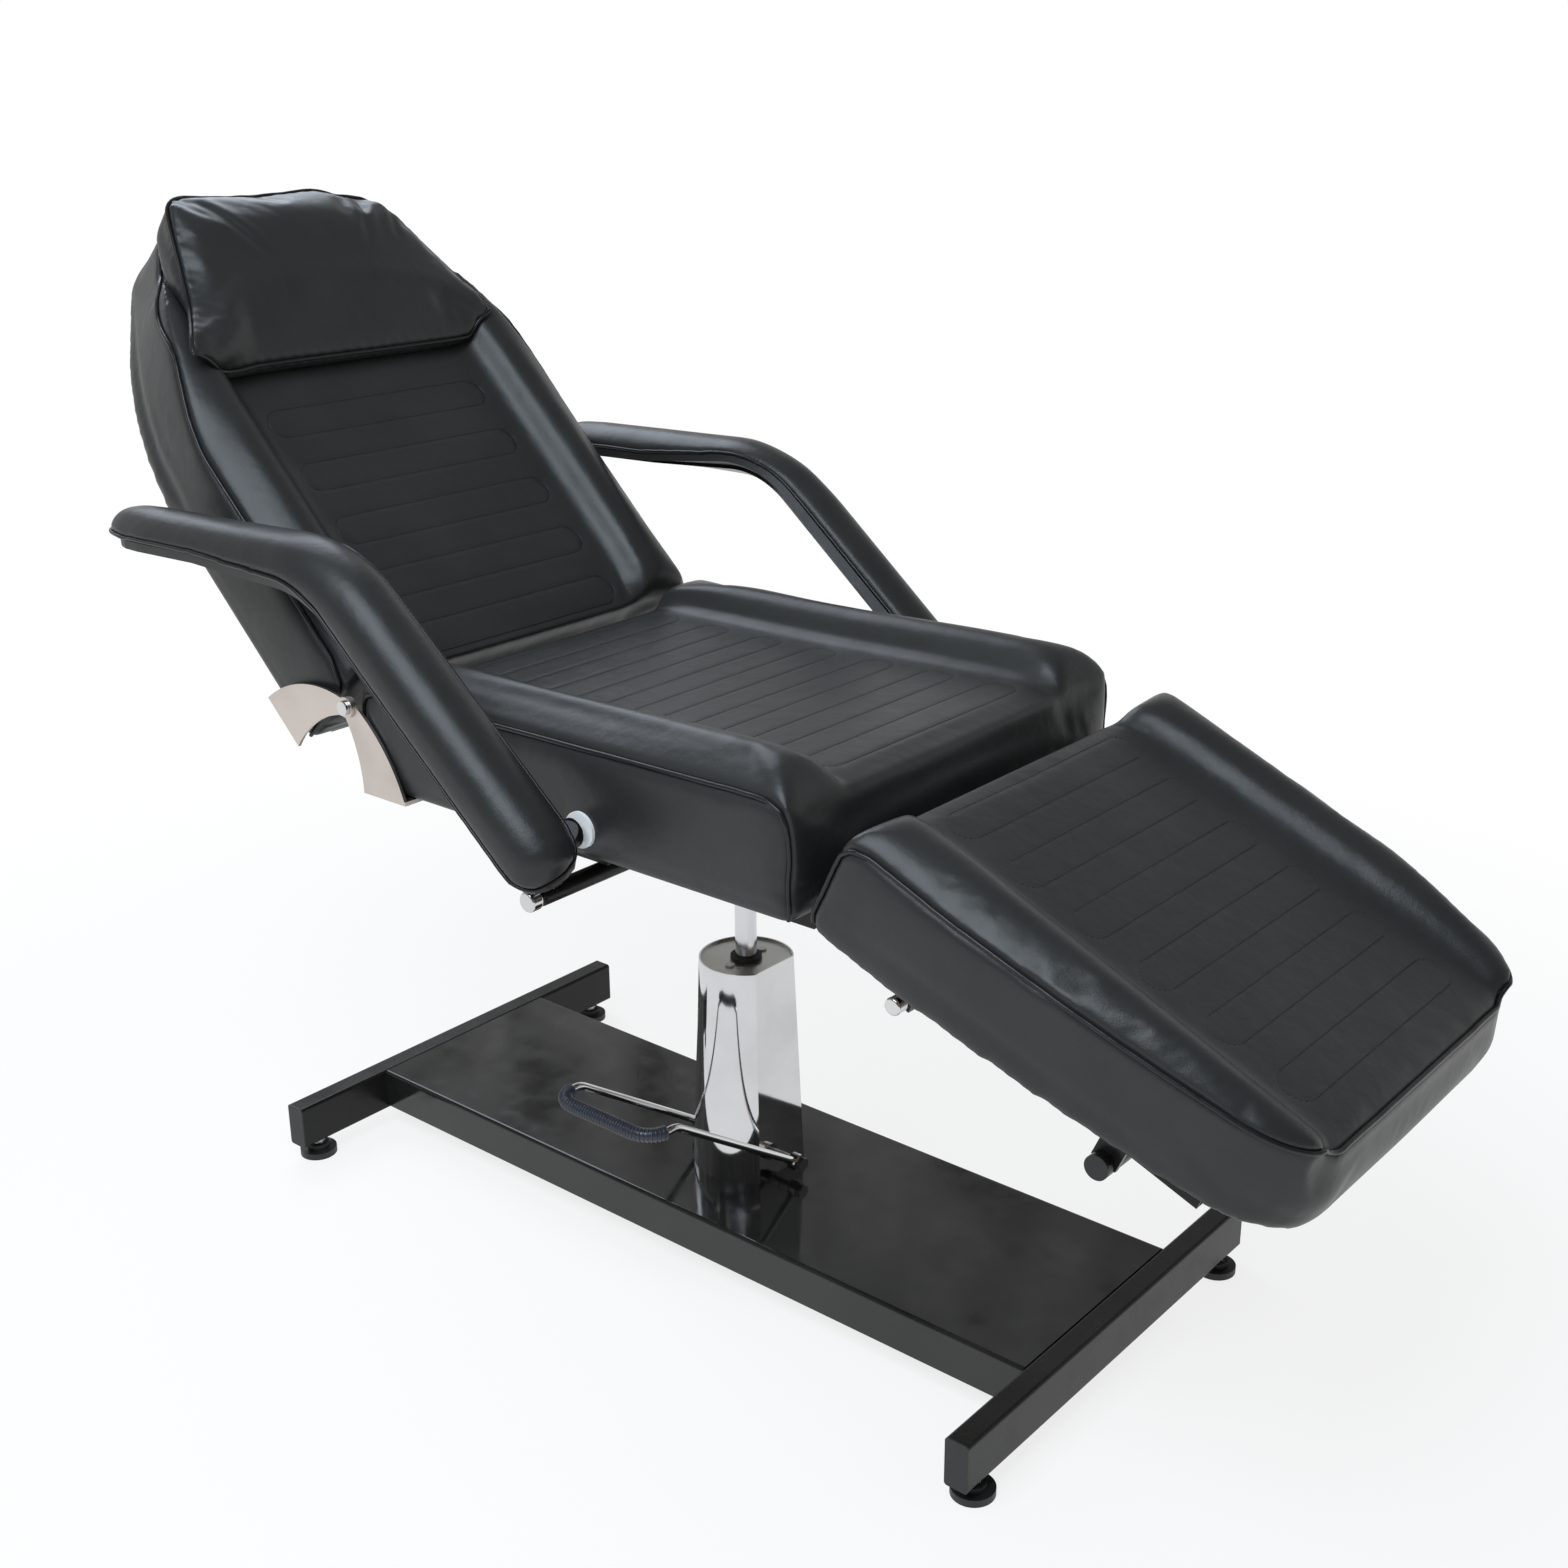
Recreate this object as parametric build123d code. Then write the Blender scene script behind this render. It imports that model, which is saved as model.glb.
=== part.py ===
from build123d import *
import os
from math import atan2, cos, degrees, hypot, pi, radians, sin, tan

# Everything is in millimetres, Z up, head end towards -X, pedal side towards -Y.
# X is first counted from the middle of the base, then the whole part is centred.

# Running fits and small gaps
RUN_FIT = 0.05
PART_GAP = 0.3
CUT_OVERRUN = 5.0

# Base crossbars
CROSSBAR_LENGTH = 600.0
CROSSBAR_HEIGHT = 60.0
CROSSBAR_WIDTH = 30.0
CROSSBAR_WALL = 2.5
CROSSBAR_CORNER = 4.0
CROSSBAR_BOTTOM = 24.0
BASE_LENGTH = 1140.0
CAP_FLANGE = 2.0
CAP_PLUG_DEPTH = 14.0

# Deck plate
DECK_WIDTH = 307.0
DECK_SHEET = 3.0
DECK_SKIRT = 54.0
DECK_FOLD = 5.0

# Levelling feet
FOOT_RADIUS = 25.0
FOOT_HEIGHT = 9.0
FOOT_NECK_RADIUS = 15.0
FOOT_NECK_HEIGHT = 7.0
FOOT_INSET = 33.0
STUD_RADIUS = 5.0
STUD_SEAT = 4.0
STUD_REACH = 16.0
FOOT_NUT_FLAT = 17.0
FOOT_NUT_HEIGHT = 7.0

# Hydraulic pump on the deck
PUMP_X = 12.0
FLANGE_RADIUS = 52.0
FLANGE_HEIGHT = 8.0
FLANGE_BOLT_CIRCLE = 42.0
FLANGE_BOLT_RADIUS = 4.0
FLANGE_BOLT_HEAD = 13.0
FLANGE_BOLT_HEAD_HEIGHT = 5.0
CYLINDER_RADIUS = 30.0
CYLINDER_HEAD_RADIUS = 20.0
CYLINDER_TOP = 350.0
HEAD_TOP = 374.0
ROD_RADIUS = 13.8
ROD_BOTTOM = 262.0
ROD_TOP = 560.0
ROD_CHAMFER = 2.0
SEAL_RADIUS = 18.0
SEAL_HEIGHT = 4.0

# Chrome hood around the pump
HOOD_TOP = 372.0
HOOD_BASE_RADIUS = 72.0
HOOD_TOP_RADIUS = 60.0
HOOD_FLAT_SHARE = 0.79
HOOD_WALL = 2.0
HOOD_LID_DROP = 3.0
HOOD_LID_SHEET = 3.0
LID_SCREW_RADIUS = 3.0
LID_SCREW_CIRCLE = 31.0
LID_SCREW_HEAD = 2.0

# Pump pedal
PEDAL_SHAFT_Z = 104.0
PEDAL_SHAFT_RADIUS = 6.0
PEDAL_SHAFT_HALF = 88.0
PEDAL_ROD_RADIUS = 5.0
PEDAL_ARM_HALF = 80.0
PEDAL_ARM_ANGLE = 34.0
PEDAL_ARM_LENGTH = 318.0
PEDAL_BAR_DROP = 28.0
PEDAL_DROP_START_SHARE = 0.84
PEDAL_CORNER = 30.0
PEDAL_EYE_RADIUS = 11.0
PEDAL_EYE_WIDTH = 12.0
GRIP_WALL = 4.0
GRIP_START_SHARE = 0.9
PEDAL_NUT_FLAT = 17.0
PEDAL_NUT_HEIGHT = 7.0

# Seat
SEAT_REAR = -335.0
SEAT_FRONT = 341.0
SEAT_HALF = 306.0
SEAT_BOTTOM = 609.0
SEAT_SIDE = 126.0
SEAT_WELL = 118.0
BOLSTER_WIDTH = 101.0
CREST_INSET = 28.0
SEAT_CREST = 153.0
SEAT_FRONT_ROUND = 58.0
SEAT_REAR_ROUND = 26.0
SEAT_REAR_DIP = 10.0
SIDE_BOW = 2.5
SEAT_LOOPS = 7
SEAT_LOOP_PITCH = 90.0
SEAT_FIRST_LOOP = 66.0
LOOP_WIDTH_SHARE = 0.5
LOOP_END_GAP = 23.0
STITCH_GROOVE = 4.0
BOARD_THICKNESS = 12.0
BOARD_INSET = 22.0

# Steel frames under the three cushions
RAIL = 25.0
RAIL_WALL = 2.0
SEAT_RAIL_INSET = 56.0
SEAT_RAIL_HALF_LENGTH = 325.0
HEAD_CROSS_X = 90.0
HEAD_PLATE_LENGTH = 200.0
HEAD_PLATE_WIDTH = 180.0
HEAD_PLATE = 8.0
SOCKET_RADIUS = 32.0
SOCKET_BOTTOM = 512.0
HEAD_BOLT_RADIUS = 5.0
HEAD_BOLT_INSET = 12.0
HEAD_BOLT_HEAD_FLAT = 16.0
HEAD_BOLT_HEAD = 6.0

# Backrest, in its own plane: s runs up the backrest, v out of its face
BACK_X = -350.0
BACK_Z = 729.0
BACK_RECLINE = 45.0
BACK_THICKNESS = 122.0
BACK_WELL = 114.0
BACK_CREST = 149.0
BACK_LENGTH = 770.0
BACK_SHOULDER_START = 350.0
BACK_SHOULDER_MID = 490.0
BACK_SHOULDER_MID_SHARE = 0.905
BACK_SHOULDER_END = 620.0
BACK_SHOULDER_END_SHARE = 0.71
BACK_TOP_START = 700.0
BACK_TOP_START_SHARE = 0.56
BACK_TOP_MID_SHARE = 0.36
BACK_TOP_MID_DROP = 19.0
BACK_END_ROUND = 46.0
BACK_TOP_ROUND = 34.0
BACK_LOOPS = 5
BACK_LOOP_PITCH = 86.5
BACK_FIRST_LOOP = 39.0
BACK_RAIL_Y = 175.0
BACK_RAIL_END = 640.0
BACK_FOOT_START = 14.0
BACK_FOOT_INSET = 56.0
BACK_UP_CROSS = 430.0
BACK_BOARD_INSET = 24.0

# Pivot of the backrest and its crescent plates
BACK_PIVOT_X = -340.0
BACK_PIVOT_Z = 709.5
PLATE_GAP = 5.0
PLATE_THICKNESS = 4.0
PLATE_FLANGE = 5.0
LOBE_RADIUS = 13.0
PIVOT_BOLT_RADIUS = 5.0
PIVOT_HEAD_RADIUS = 9.0
PIVOT_HEAD_HEIGHT = 5.0
SEAT_PLATE_HEEL_X = -322.0
SEAT_PLATE_TOE_X = -246.0
SEAT_PLATE_BOTTOM = 604.0
SEAT_PLATE_INNER_MID = (-331.0, 660.0)
SEAT_PLATE_INNER_TOP = (-350.0, 701.0)
SEAT_PLATE_OUTER_TOP = (-336.0, 719.0)
SEAT_PLATE_OUTER_MID = (-284.0, 673.0)
BACK_PLATE_OUTER_TOP = (-342.0, 719.0)
BACK_PLATE_OUTER_MID = (-412.0, 725.0)
BACK_PLATE_OUTER_END_S = 75.0
BACK_PLATE_INNER_MID = (-394.0, 682.0)
BACK_PLATE_INNER_TOP = (-347.0, 699.0)

# Head pillow on the backrest
PILLOW_START = 462.0
PILLOW_END = 712.0
PILLOW_START_INSET = 44.0
PILLOW_MID = 570.0
PILLOW_MID_INSET = 84.0
PILLOW_END_INSET = 146.0
PILLOW_TOP_ROUND = 46.0
PILLOW_SIDE = 38.0
PILLOW_CROWN = 62.0
PILLOW_ROLL = 34.0

# Legrest, in its own plane: t runs down the legrest, v out of its face
LEG_X = 350.0
LEG_Z = 749.0
LEG_SLOPE = 23.5
LEG_START = 58.0
LEG_END = 600.0
LEG_HALF = 306.0
LEG_MID = 330.0
LEG_MID_INSET = 10.0
LEG_FOOT_INSET = 53.0
LEG_THICKNESS = 120.0
LEG_FOOT_THICKNESS = 102.0
LEG_WELL_DROP = 8.0
LEG_CREST_RISE = 22.0
LEG_END_ROUND = 44.0
LEG_FOOT_ROUND = 30.0
LEG_FOOT_CORNER = 88.0
LEG_HEEL_ROUND = 14.0
LEG_LOOPS = 6
LEG_LOOP_PITCH = 83.0
LEG_FIRST_LOOP = 107.0
LEG_LOOP_END_GAP = 29.0
LEG_RAIL_REACH = 40.0
LEG_RAIL_START = 75.0
LEG_RAIL_END = 520.0
LEG_PIVOT_X = 348.0
LEG_PIVOT_Z = 600.0
LEG_PIN_RADIUS = 6.0
EAR_RADIUS = 10.0
EAR_THICKNESS = 6.0
KNUCKLE_WIDTH = 20.0
KNUCKLE_INSET = 50.0
CROSS_TUBE_RADIUS = 13.5
CROSS_TUBE_WALL = 2.0
CROSS_TUBE_OVERHANG = 16.0
CROSS_TUBE_T = 420.0
CROSS_TUBE_DROP = 170.0
TUBE_CAP = 3.0
TUBE_BRACKET_WIDTH = 30.0
TUBE_BRACKET_THICKNESS = 6.0
TUBE_BRACKET_INSET = 18.0

# Release rods
SEAT_RELEASE_X = 22.0
GUIDE_RADIUS = 11.0
GUIDE_START = 150.0
GUIDE_OVERHANG = 46.0
RELEASE_ROD_RADIUS = 5.0
RELEASE_KNOB_RADIUS = 12.0
RELEASE_KNOB_LENGTH = 16.0
RELEASE_NECK = 6.0
CAM_RADIUS = 14.0
CAM_WIDTH = 10.0
CAM_REACH = 26.0
LEG_RELEASE_T = 164.0
LEG_RELEASE_DROP = 164.0
LEG_GUIDE_WIDTH = 20.0
LEG_GUIDE_REACH = 34.0
LEG_KNOB_RADIUS = 10.0

# Armrests
ARM_PIVOT_X = 45.0
ARM_PIVOT_Z = 645.0
ARM_CENTRE_GAP = 75.0
ARM_LEG_ANGLE = 40.0
ARM_TOP_ANGLE = -1.5
ARM_TOP_REACH = 780.0
ARM_BEND_CORNER = 405.0
ARM_BEND_RADIUS = 150.0
ARM_LEG_TILT = 33.0
ARM_TOP_TILT = 4.0
ARM_TILT_FADE = 150.0
ARM_HALF_WIDTH = 41.0
ARM_END_REACH = 46.0
ARM_TIP_HALF = 11.0
ARM_TIP_LENGTH = 62.0
ARM_ROUND_SHARES = (0, 0.1, 0.28, 0.55, 1)
ARM_ROUND_POWER = 2.4
ARM_BEND_STEPS = 10
ARM_BOARD = 11.0
ARM_PAD_EDGE = 4.0
ARM_PAD_CROWN = 34.0
ARM_STRIP_HALF = 16.0
ARM_STRIP = 5.0
BOSS_RADIUS = 17.0
BOSS_GAP = 16.0
ARM_STUD_RADIUS = 7.0
ARM_STUD_REACH = 11.0
ARM_BORE_SPARE = 2.0
ARM_MOUNT_INSET = 16.0
ARM_MOUNT_THICKNESS = 5.0
ARM_MOUNT_WIDTH = 50.0
ARM_MOUNT_TOP = 675.0
ARM_NUT_FLAT = 22.0
ARM_NUT_HEIGHT = 7.0
WASHER_RADIUS = 21.0
WASHER_THICKNESS = 6.5

# Widths that follow the seat's: the armrests and hinge plates pass both the seat and the backrest
BACK_HALF = SEAT_HALF
SEAT_WELL_HALF = SEAT_HALF - BOLSTER_WIDTH
SEAT_CREST_HALF = SEAT_HALF - CREST_INSET
SEAT_LOOP_HALF = SEAT_WELL_HALF - LOOP_END_GAP
BACK_WELL_HALF = BACK_HALF - BOLSTER_WIDTH
BACK_CREST_HALF = BACK_HALF - CREST_INSET
BACK_LOOP_HALF = BACK_WELL_HALF - LOOP_END_GAP
LEG_WELL_HALF = LEG_HALF - BOLSTER_WIDTH
LEG_CREST_HALF = LEG_HALF - CREST_INSET
LEG_MID_HALF = LEG_HALF - LEG_MID_INSET
LEG_FOOT_HALF = LEG_HALF - LEG_FOOT_INSET
LEG_LOOP_HALF = LEG_WELL_HALF - LEG_LOOP_END_GAP
PILLOW_START_HALF = BACK_HALF - PILLOW_START_INSET
PILLOW_MID_HALF = BACK_HALF - PILLOW_MID_INSET
PILLOW_END_HALF = BACK_HALF - PILLOW_END_INSET
SEAT_RAIL_Y = SEAT_HALF - SEAT_RAIL_INSET
KNUCKLE_Y = SEAT_RAIL_Y - KNUCKLE_INSET
LEG_RAIL_Y = KNUCKLE_Y + LEG_RAIL_REACH
TUBE_BRACKET_Y = LEG_RAIL_Y - TUBE_BRACKET_INSET
CROSS_TUBE_HALF = TUBE_BRACKET_Y + CROSS_TUBE_OVERHANG
LEG_GUIDE_START = LEG_RAIL_Y - LEG_GUIDE_REACH
BACK_FOOT_HALF = BACK_HALF - BACK_FOOT_INSET
PLATE_INNER = SEAT_HALF + PLATE_GAP
GUIDE_END = SEAT_HALF + GUIDE_OVERHANG
ARM_MOUNT_Y = SEAT_HALF - ARM_MOUNT_INSET
WASHER_FACE = SEAT_HALF + WASHER_THICKNESS
BOSS_START = SEAT_HALF + BOSS_GAP
ARM_STUD_END = BOSS_START + ARM_STUD_REACH
ARM_BORE_END = ARM_STUD_END + ARM_BORE_SPARE
ARM_CENTRE_Y = SEAT_HALF + ARM_CENTRE_GAP

# Other sizes worked out from the ones above
CROSSBAR_TOP = CROSSBAR_BOTTOM + CROSSBAR_HEIGHT
DECK_TOP = CROSSBAR_TOP
DECK_HALF_LENGTH = BASE_LENGTH / 2 - CROSSBAR_WIDTH
FOOT_TOP = FOOT_HEIGHT + FOOT_NECK_HEIGHT
FOOT_X = (BASE_LENGTH - CROSSBAR_WIDTH) / 2
FOOT_Y = CROSSBAR_LENGTH / 2 - FOOT_INSET
FRAME_BOTTOM = SEAT_BOTTOM - RAIL
HEAD_BOTTOM = FRAME_BOTTOM - HEAD_PLATE
GUIDE_Z = FRAME_BOTTOM - GUIDE_RADIUS
BACK_UP = (-cos(radians(BACK_RECLINE)), sin(radians(BACK_RECLINE)))
BACK_OUT = (sin(radians(BACK_RECLINE)), cos(radians(BACK_RECLINE)))
LEG_ALONG = (cos(radians(LEG_SLOPE)), -sin(radians(LEG_SLOPE)))
LEG_OUT = (sin(radians(LEG_SLOPE)), cos(radians(LEG_SLOPE)))
BACK_PLATE_INNER_FACE = PLATE_INNER + PLATE_THICKNESS + PART_GAP


# Small helpers

def span_box(x0, x1, y0, y1, z0, z1):
    """Box between two corners."""
    centre = Pos((x0 + x1) / 2, (y0 + y1) / 2, (z0 + z1) / 2)
    return centre * Box(abs(x1 - x0), abs(y1 - y0), abs(z1 - z0))


def y_bar(radius, x, z, y0, y1):
    """Round bar along Y."""
    return Pos(x, (y0 + y1) / 2, z) * Rot(90, 0, 0) * Cylinder(radius, y1 - y0)


def x_bar(radius, y, z, x0, x1):
    """Round bar along X."""
    return Pos((x0 + x1) / 2, y, z) * Rot(0, 90, 0) * Cylinder(radius, x1 - x0)


def z_bar(radius, x, y, z0, z1):
    """Round bar along Z."""
    return Pos(x, y, (z0 + z1) / 2) * Cylinder(radius, z1 - z0)


def hexagon(flat, height):
    """Six-sided nut or head standing on its own origin."""
    return extrude(RegularPolygon(flat / 2, 6, major_radius=False), height)


def both_sides(shape):
    """The shape and its mirror image across the middle plane."""
    return [shape, mirror(shape, Plane.XZ)]


def xz_prism(face, y0, y1):
    """Sheet-metal outline drawn as X and Z, made solid between two Y planes."""
    thick = extrude(Plane.XZ * face, -(y1 - y0))
    return Pos(0, y0, 0) * thick


def back_plane():
    """Plane of the backrest's underside: x up the backrest, z out of its face."""
    x = BACK_X - BACK_THICKNESS * BACK_OUT[0]
    z = BACK_Z - BACK_THICKNESS * BACK_OUT[1]
    return Plane((x, 0, z), x_dir=(BACK_UP[0], 0, BACK_UP[1]), z_dir=(BACK_OUT[0], 0, BACK_OUT[1]))


def leg_plane():
    """Plane of the legrest's piping: x down the legrest, z out of its face."""
    return Plane((LEG_X, 0, LEG_Z), x_dir=(LEG_ALONG[0], 0, LEG_ALONG[1]), z_dir=(LEG_OUT[0], 0, LEG_OUT[1]))


def back_point(s, v):
    """X and Z of a point s up the backrest and v above its underside."""
    x = BACK_X - BACK_THICKNESS * BACK_OUT[0] + s * BACK_UP[0] + v * BACK_OUT[0]
    z = BACK_Z - BACK_THICKNESS * BACK_OUT[1] + s * BACK_UP[1] + v * BACK_OUT[1]
    return (x, z)


def leg_point(t, v):
    """X and Z of a point t down the legrest and v out of its piping plane."""
    x = LEG_X + t * LEG_ALONG[0] + v * LEG_OUT[0]
    z = LEG_Z + t * LEG_ALONG[1] + v * LEG_OUT[1]
    return (x, z)


def leg_pivot():
    """The legrest pivot as t and v."""
    dx = LEG_PIVOT_X - LEG_X
    dz = LEG_PIVOT_Z - LEG_Z
    return (dx * LEG_ALONG[0] + dz * LEG_ALONG[1], dx * LEG_OUT[0] + dz * LEG_OUT[1])


def tube_rail(x0, x1, y0, y1, z0, z1):
    """Square steel tube, open at both ends, along its longest side."""
    rail = span_box(x0, x1, y0, y1, z0, z1)
    wall = RAIL_WALL
    if x1 - x0 > y1 - y0:
        return rail - span_box(x0, x1, y0 + wall, y1 - wall, z0 + wall, z1 - wall)
    return rail - span_box(x0 + wall, x1 - wall, y0, y1, z0 + wall, z1 - wall)


# Base

def crossbar(side):
    """Rectangular tube across one end of the base, drilled for its two feet."""
    x = side * FOOT_X
    length = CROSSBAR_LENGTH - 2 * CAP_FLANGE
    outer = RectangleRounded(CROSSBAR_WIDTH, CROSSBAR_HEIGHT, CROSSBAR_CORNER)
    inner_width = CROSSBAR_WIDTH - 2 * CROSSBAR_WALL
    inner_height = CROSSBAR_HEIGHT - 2 * CROSSBAR_WALL
    inner = RectangleRounded(inner_width, inner_height, CROSSBAR_CORNER - CROSSBAR_WALL)
    tube = extrude(Plane.XZ * (outer - inner), length / 2, both=True)
    tube = Pos(x, 0, CROSSBAR_BOTTOM + CROSSBAR_HEIGHT / 2) * tube
    for y in (-FOOT_Y, FOOT_Y):
        tube -= z_bar(STUD_RADIUS, x, y, 0, CROSSBAR_BOTTOM + CROSSBAR_HEIGHT / 2)
    return tube


def crossbar_caps():
    """Plastic caps pushed into the four tube ends."""
    caps = []
    width = CROSSBAR_WIDTH - 2 * CROSSBAR_WALL
    height = CROSSBAR_HEIGHT - 2 * CROSSBAR_WALL
    z = CROSSBAR_BOTTOM + CROSSBAR_HEIGHT / 2
    end = CROSSBAR_LENGTH / 2
    for x in (-FOOT_X, FOOT_X):
        face = RectangleRounded(CROSSBAR_WIDTH, CROSSBAR_HEIGHT, CROSSBAR_CORNER)
        plug = RectangleRounded(width, height, CROSSBAR_CORNER - CROSSBAR_WALL)
        flange = Pos(x, end, z) * extrude(Plane.XZ * face, CAP_FLANGE)
        plug_body = Pos(x, end - CAP_FLANGE, z) * extrude(Plane.XZ * plug, CAP_PLUG_DEPTH)
        caps += both_sides(flange + plug_body)
    return caps


def deck_plate():
    """Folded sheet deck between the crossbars, its skirts turned down."""
    half = DECK_WIDTH / 2
    outer = Pos(0, DECK_TOP - DECK_SKIRT / 2) * Rectangle(DECK_WIDTH, DECK_SKIRT)
    outer = fillet(outer.vertices().group_by(Axis.Y)[-1], DECK_FOLD)
    inner_width = 2 * (half - DECK_SHEET)
    inner_height = DECK_SKIRT - DECK_SHEET
    inner = Pos(0, DECK_TOP - DECK_SKIRT + inner_height / 2) * Rectangle(inner_width, inner_height)
    inner = fillet(inner.vertices().group_by(Axis.Y)[-1], DECK_FOLD - DECK_SHEET)
    deck = extrude(Plane.YZ * (outer - inner), DECK_HALF_LENGTH, both=True)
    for x, y in flange_bolt_places():
        deck -= z_bar(FLANGE_BOLT_RADIUS, x, y, DECK_TOP - DECK_SKIRT, DECK_TOP + CUT_OVERRUN)
    return deck


def foot_places():
    """X and Y of the four feet."""
    return [(x, y) for x in (-FOOT_X, FOOT_X) for y in (-FOOT_Y, FOOT_Y)]


def foot_pads():
    """Four round levelling feet."""
    pads = []
    for x, y in foot_places():
        pad = z_bar(FOOT_RADIUS, x, y, 0, FOOT_HEIGHT)
        pad += z_bar(FOOT_NECK_RADIUS, x, y, FOOT_HEIGHT, FOOT_TOP)
        pads.append(pad - z_bar(STUD_RADIUS, x, y, STUD_SEAT, FOOT_TOP + CUT_OVERRUN))
    return pads


def foot_studs():
    """Threaded studs that join the feet to the crossbars."""
    top = CROSSBAR_BOTTOM + STUD_REACH
    return [z_bar(STUD_RADIUS, x, y, STUD_SEAT, top) for x, y in foot_places()]


def foot_nuts():
    """Lock nuts between each foot and its crossbar."""
    nuts = []
    for x, y in foot_places():
        nut = Pos(x, y, CROSSBAR_BOTTOM - FOOT_NUT_HEIGHT) * hexagon(FOOT_NUT_FLAT, FOOT_NUT_HEIGHT)
        nuts.append(nut - z_bar(STUD_RADIUS, x, y, 0, CROSSBAR_TOP))
    return nuts


# Pump

def flange_bolt_places():
    """X and Y of the four bolts that hold the pump to the deck."""
    reach = FLANGE_BOLT_CIRCLE * cos(radians(45))
    return [(PUMP_X + i * reach, j * reach) for i in (-1, 1) for j in (-1, 1)]


def pump_flange():
    """Round foot of the pump."""
    flange = z_bar(FLANGE_RADIUS, PUMP_X, 0, DECK_TOP, DECK_TOP + FLANGE_HEIGHT)
    for x, y in flange_bolt_places():
        flange -= z_bar(FLANGE_BOLT_RADIUS, x, y, DECK_TOP - CUT_OVERRUN, DECK_TOP + 2 * FLANGE_HEIGHT)
    return flange


def flange_bolts():
    """Bolts through pump flange and deck, with nuts below the deck."""
    bolts = []
    top = DECK_TOP + FLANGE_HEIGHT
    under = DECK_TOP - DECK_SHEET
    for x, y in flange_bolt_places():
        shank = z_bar(FLANGE_BOLT_RADIUS, x, y, under - 2 * FLANGE_BOLT_HEAD_HEIGHT, top)
        head = Pos(x, y, top) * hexagon(FLANGE_BOLT_HEAD, FLANGE_BOLT_HEAD_HEIGHT)
        nut = Pos(x, y, under - FLANGE_BOLT_HEAD_HEIGHT) * hexagon(FLANGE_BOLT_HEAD, FLANGE_BOLT_HEAD_HEIGHT)
        bolts.append(shank + head)
        bolts.append(nut - shank)
    return bolts


def pump_cylinder():
    """Pump body with the rod's bore and the pedal shaft's hole."""
    bottom = DECK_TOP + FLANGE_HEIGHT
    body = z_bar(CYLINDER_RADIUS, PUMP_X, 0, bottom, CYLINDER_TOP)
    body += z_bar(CYLINDER_HEAD_RADIUS, PUMP_X, 0, CYLINDER_TOP, HEAD_TOP)
    floor = PEDAL_SHAFT_Z + 2 * PEDAL_SHAFT_RADIUS
    body -= z_bar(ROD_RADIUS + RUN_FIT, PUMP_X, 0, floor, HEAD_TOP + CUT_OVERRUN)
    body -= z_bar(SEAL_RADIUS, PUMP_X, 0, HEAD_TOP - SEAL_HEIGHT, HEAD_TOP + CUT_OVERRUN)
    reach = CYLINDER_RADIUS + CUT_OVERRUN
    return body - x_bar(PEDAL_SHAFT_RADIUS + RUN_FIT, 0, PEDAL_SHAFT_Z, PUMP_X - reach, PUMP_X + reach)


def rod_seal():
    """Wiper ring in the top of the pump body."""
    ring = z_bar(SEAL_RADIUS, PUMP_X, 0, HEAD_TOP - SEAL_HEIGHT, HEAD_TOP)
    return ring - z_bar(ROD_RADIUS + RUN_FIT, PUMP_X, 0, 0, ROD_TOP)


def hood_face(radius):
    """Round outline with one flat side towards the foot end."""
    flat = radius * HOOD_FLAT_SHARE
    square = Pos(flat - radius, 0) * Rectangle(2 * radius, 2 * radius)
    return Circle(radius) & square


def hood_solid(shrink, bottom, top):
    """Tapered solid with the hood's outline, taken in by shrink."""
    rise = HOOD_TOP - DECK_TOP
    slope = (HOOD_TOP_RADIUS - HOOD_BASE_RADIUS) / rise
    low = HOOD_BASE_RADIUS + slope * (bottom - DECK_TOP) - shrink
    high = HOOD_BASE_RADIUS + slope * (top - DECK_TOP) - shrink
    faces = [Pos(PUMP_X, 0, bottom) * hood_face(low), Pos(PUMP_X, 0, top) * hood_face(high)]
    return loft(faces)


def pump_housing():
    """Chrome hood standing on the deck, open at top and bottom."""
    outer = hood_solid(0, DECK_TOP, HOOD_TOP)
    inner = hood_solid(HOOD_WALL, DECK_TOP - CUT_OVERRUN, HOOD_TOP + CUT_OVERRUN)
    reach = HOOD_BASE_RADIUS + CUT_OVERRUN
    shaft_hole = x_bar(PEDAL_SHAFT_RADIUS + PART_GAP, 0, PEDAL_SHAFT_Z, PUMP_X - reach, PUMP_X + reach)
    return outer - inner - shaft_hole


def housing_lid():
    """Brushed lid inside the top of the hood, around the pump head."""
    top = HOOD_TOP - HOOD_LID_DROP
    lid = hood_solid(HOOD_WALL, top - HOOD_LID_SHEET, top)
    lid -= z_bar(CYLINDER_HEAD_RADIUS, PUMP_X, 0, 0, ROD_TOP)
    for side in (-1, 1):
        lid -= z_bar(LID_SCREW_RADIUS, PUMP_X, side * LID_SCREW_CIRCLE, 0, ROD_TOP)
    return lid


def lid_screws():
    """Two button screws in the lid."""
    screws = []
    top = HOOD_TOP - HOOD_LID_DROP
    for side in (-1, 1):
        y = side * LID_SCREW_CIRCLE
        shank = z_bar(LID_SCREW_RADIUS, PUMP_X, y, top - 2 * HOOD_LID_SHEET, top)
        head = z_bar(2 * LID_SCREW_RADIUS, PUMP_X, y, top, top + LID_SCREW_HEAD)
        screws.append(shank + head)
    return screws


def piston_rod():
    """Polished lifting rod."""
    rod = z_bar(ROD_RADIUS, PUMP_X, 0, ROD_BOTTOM, ROD_TOP)
    return chamfer(rod.edges().filter_by(GeomType.CIRCLE), ROD_CHAMFER)


# Pedal

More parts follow.
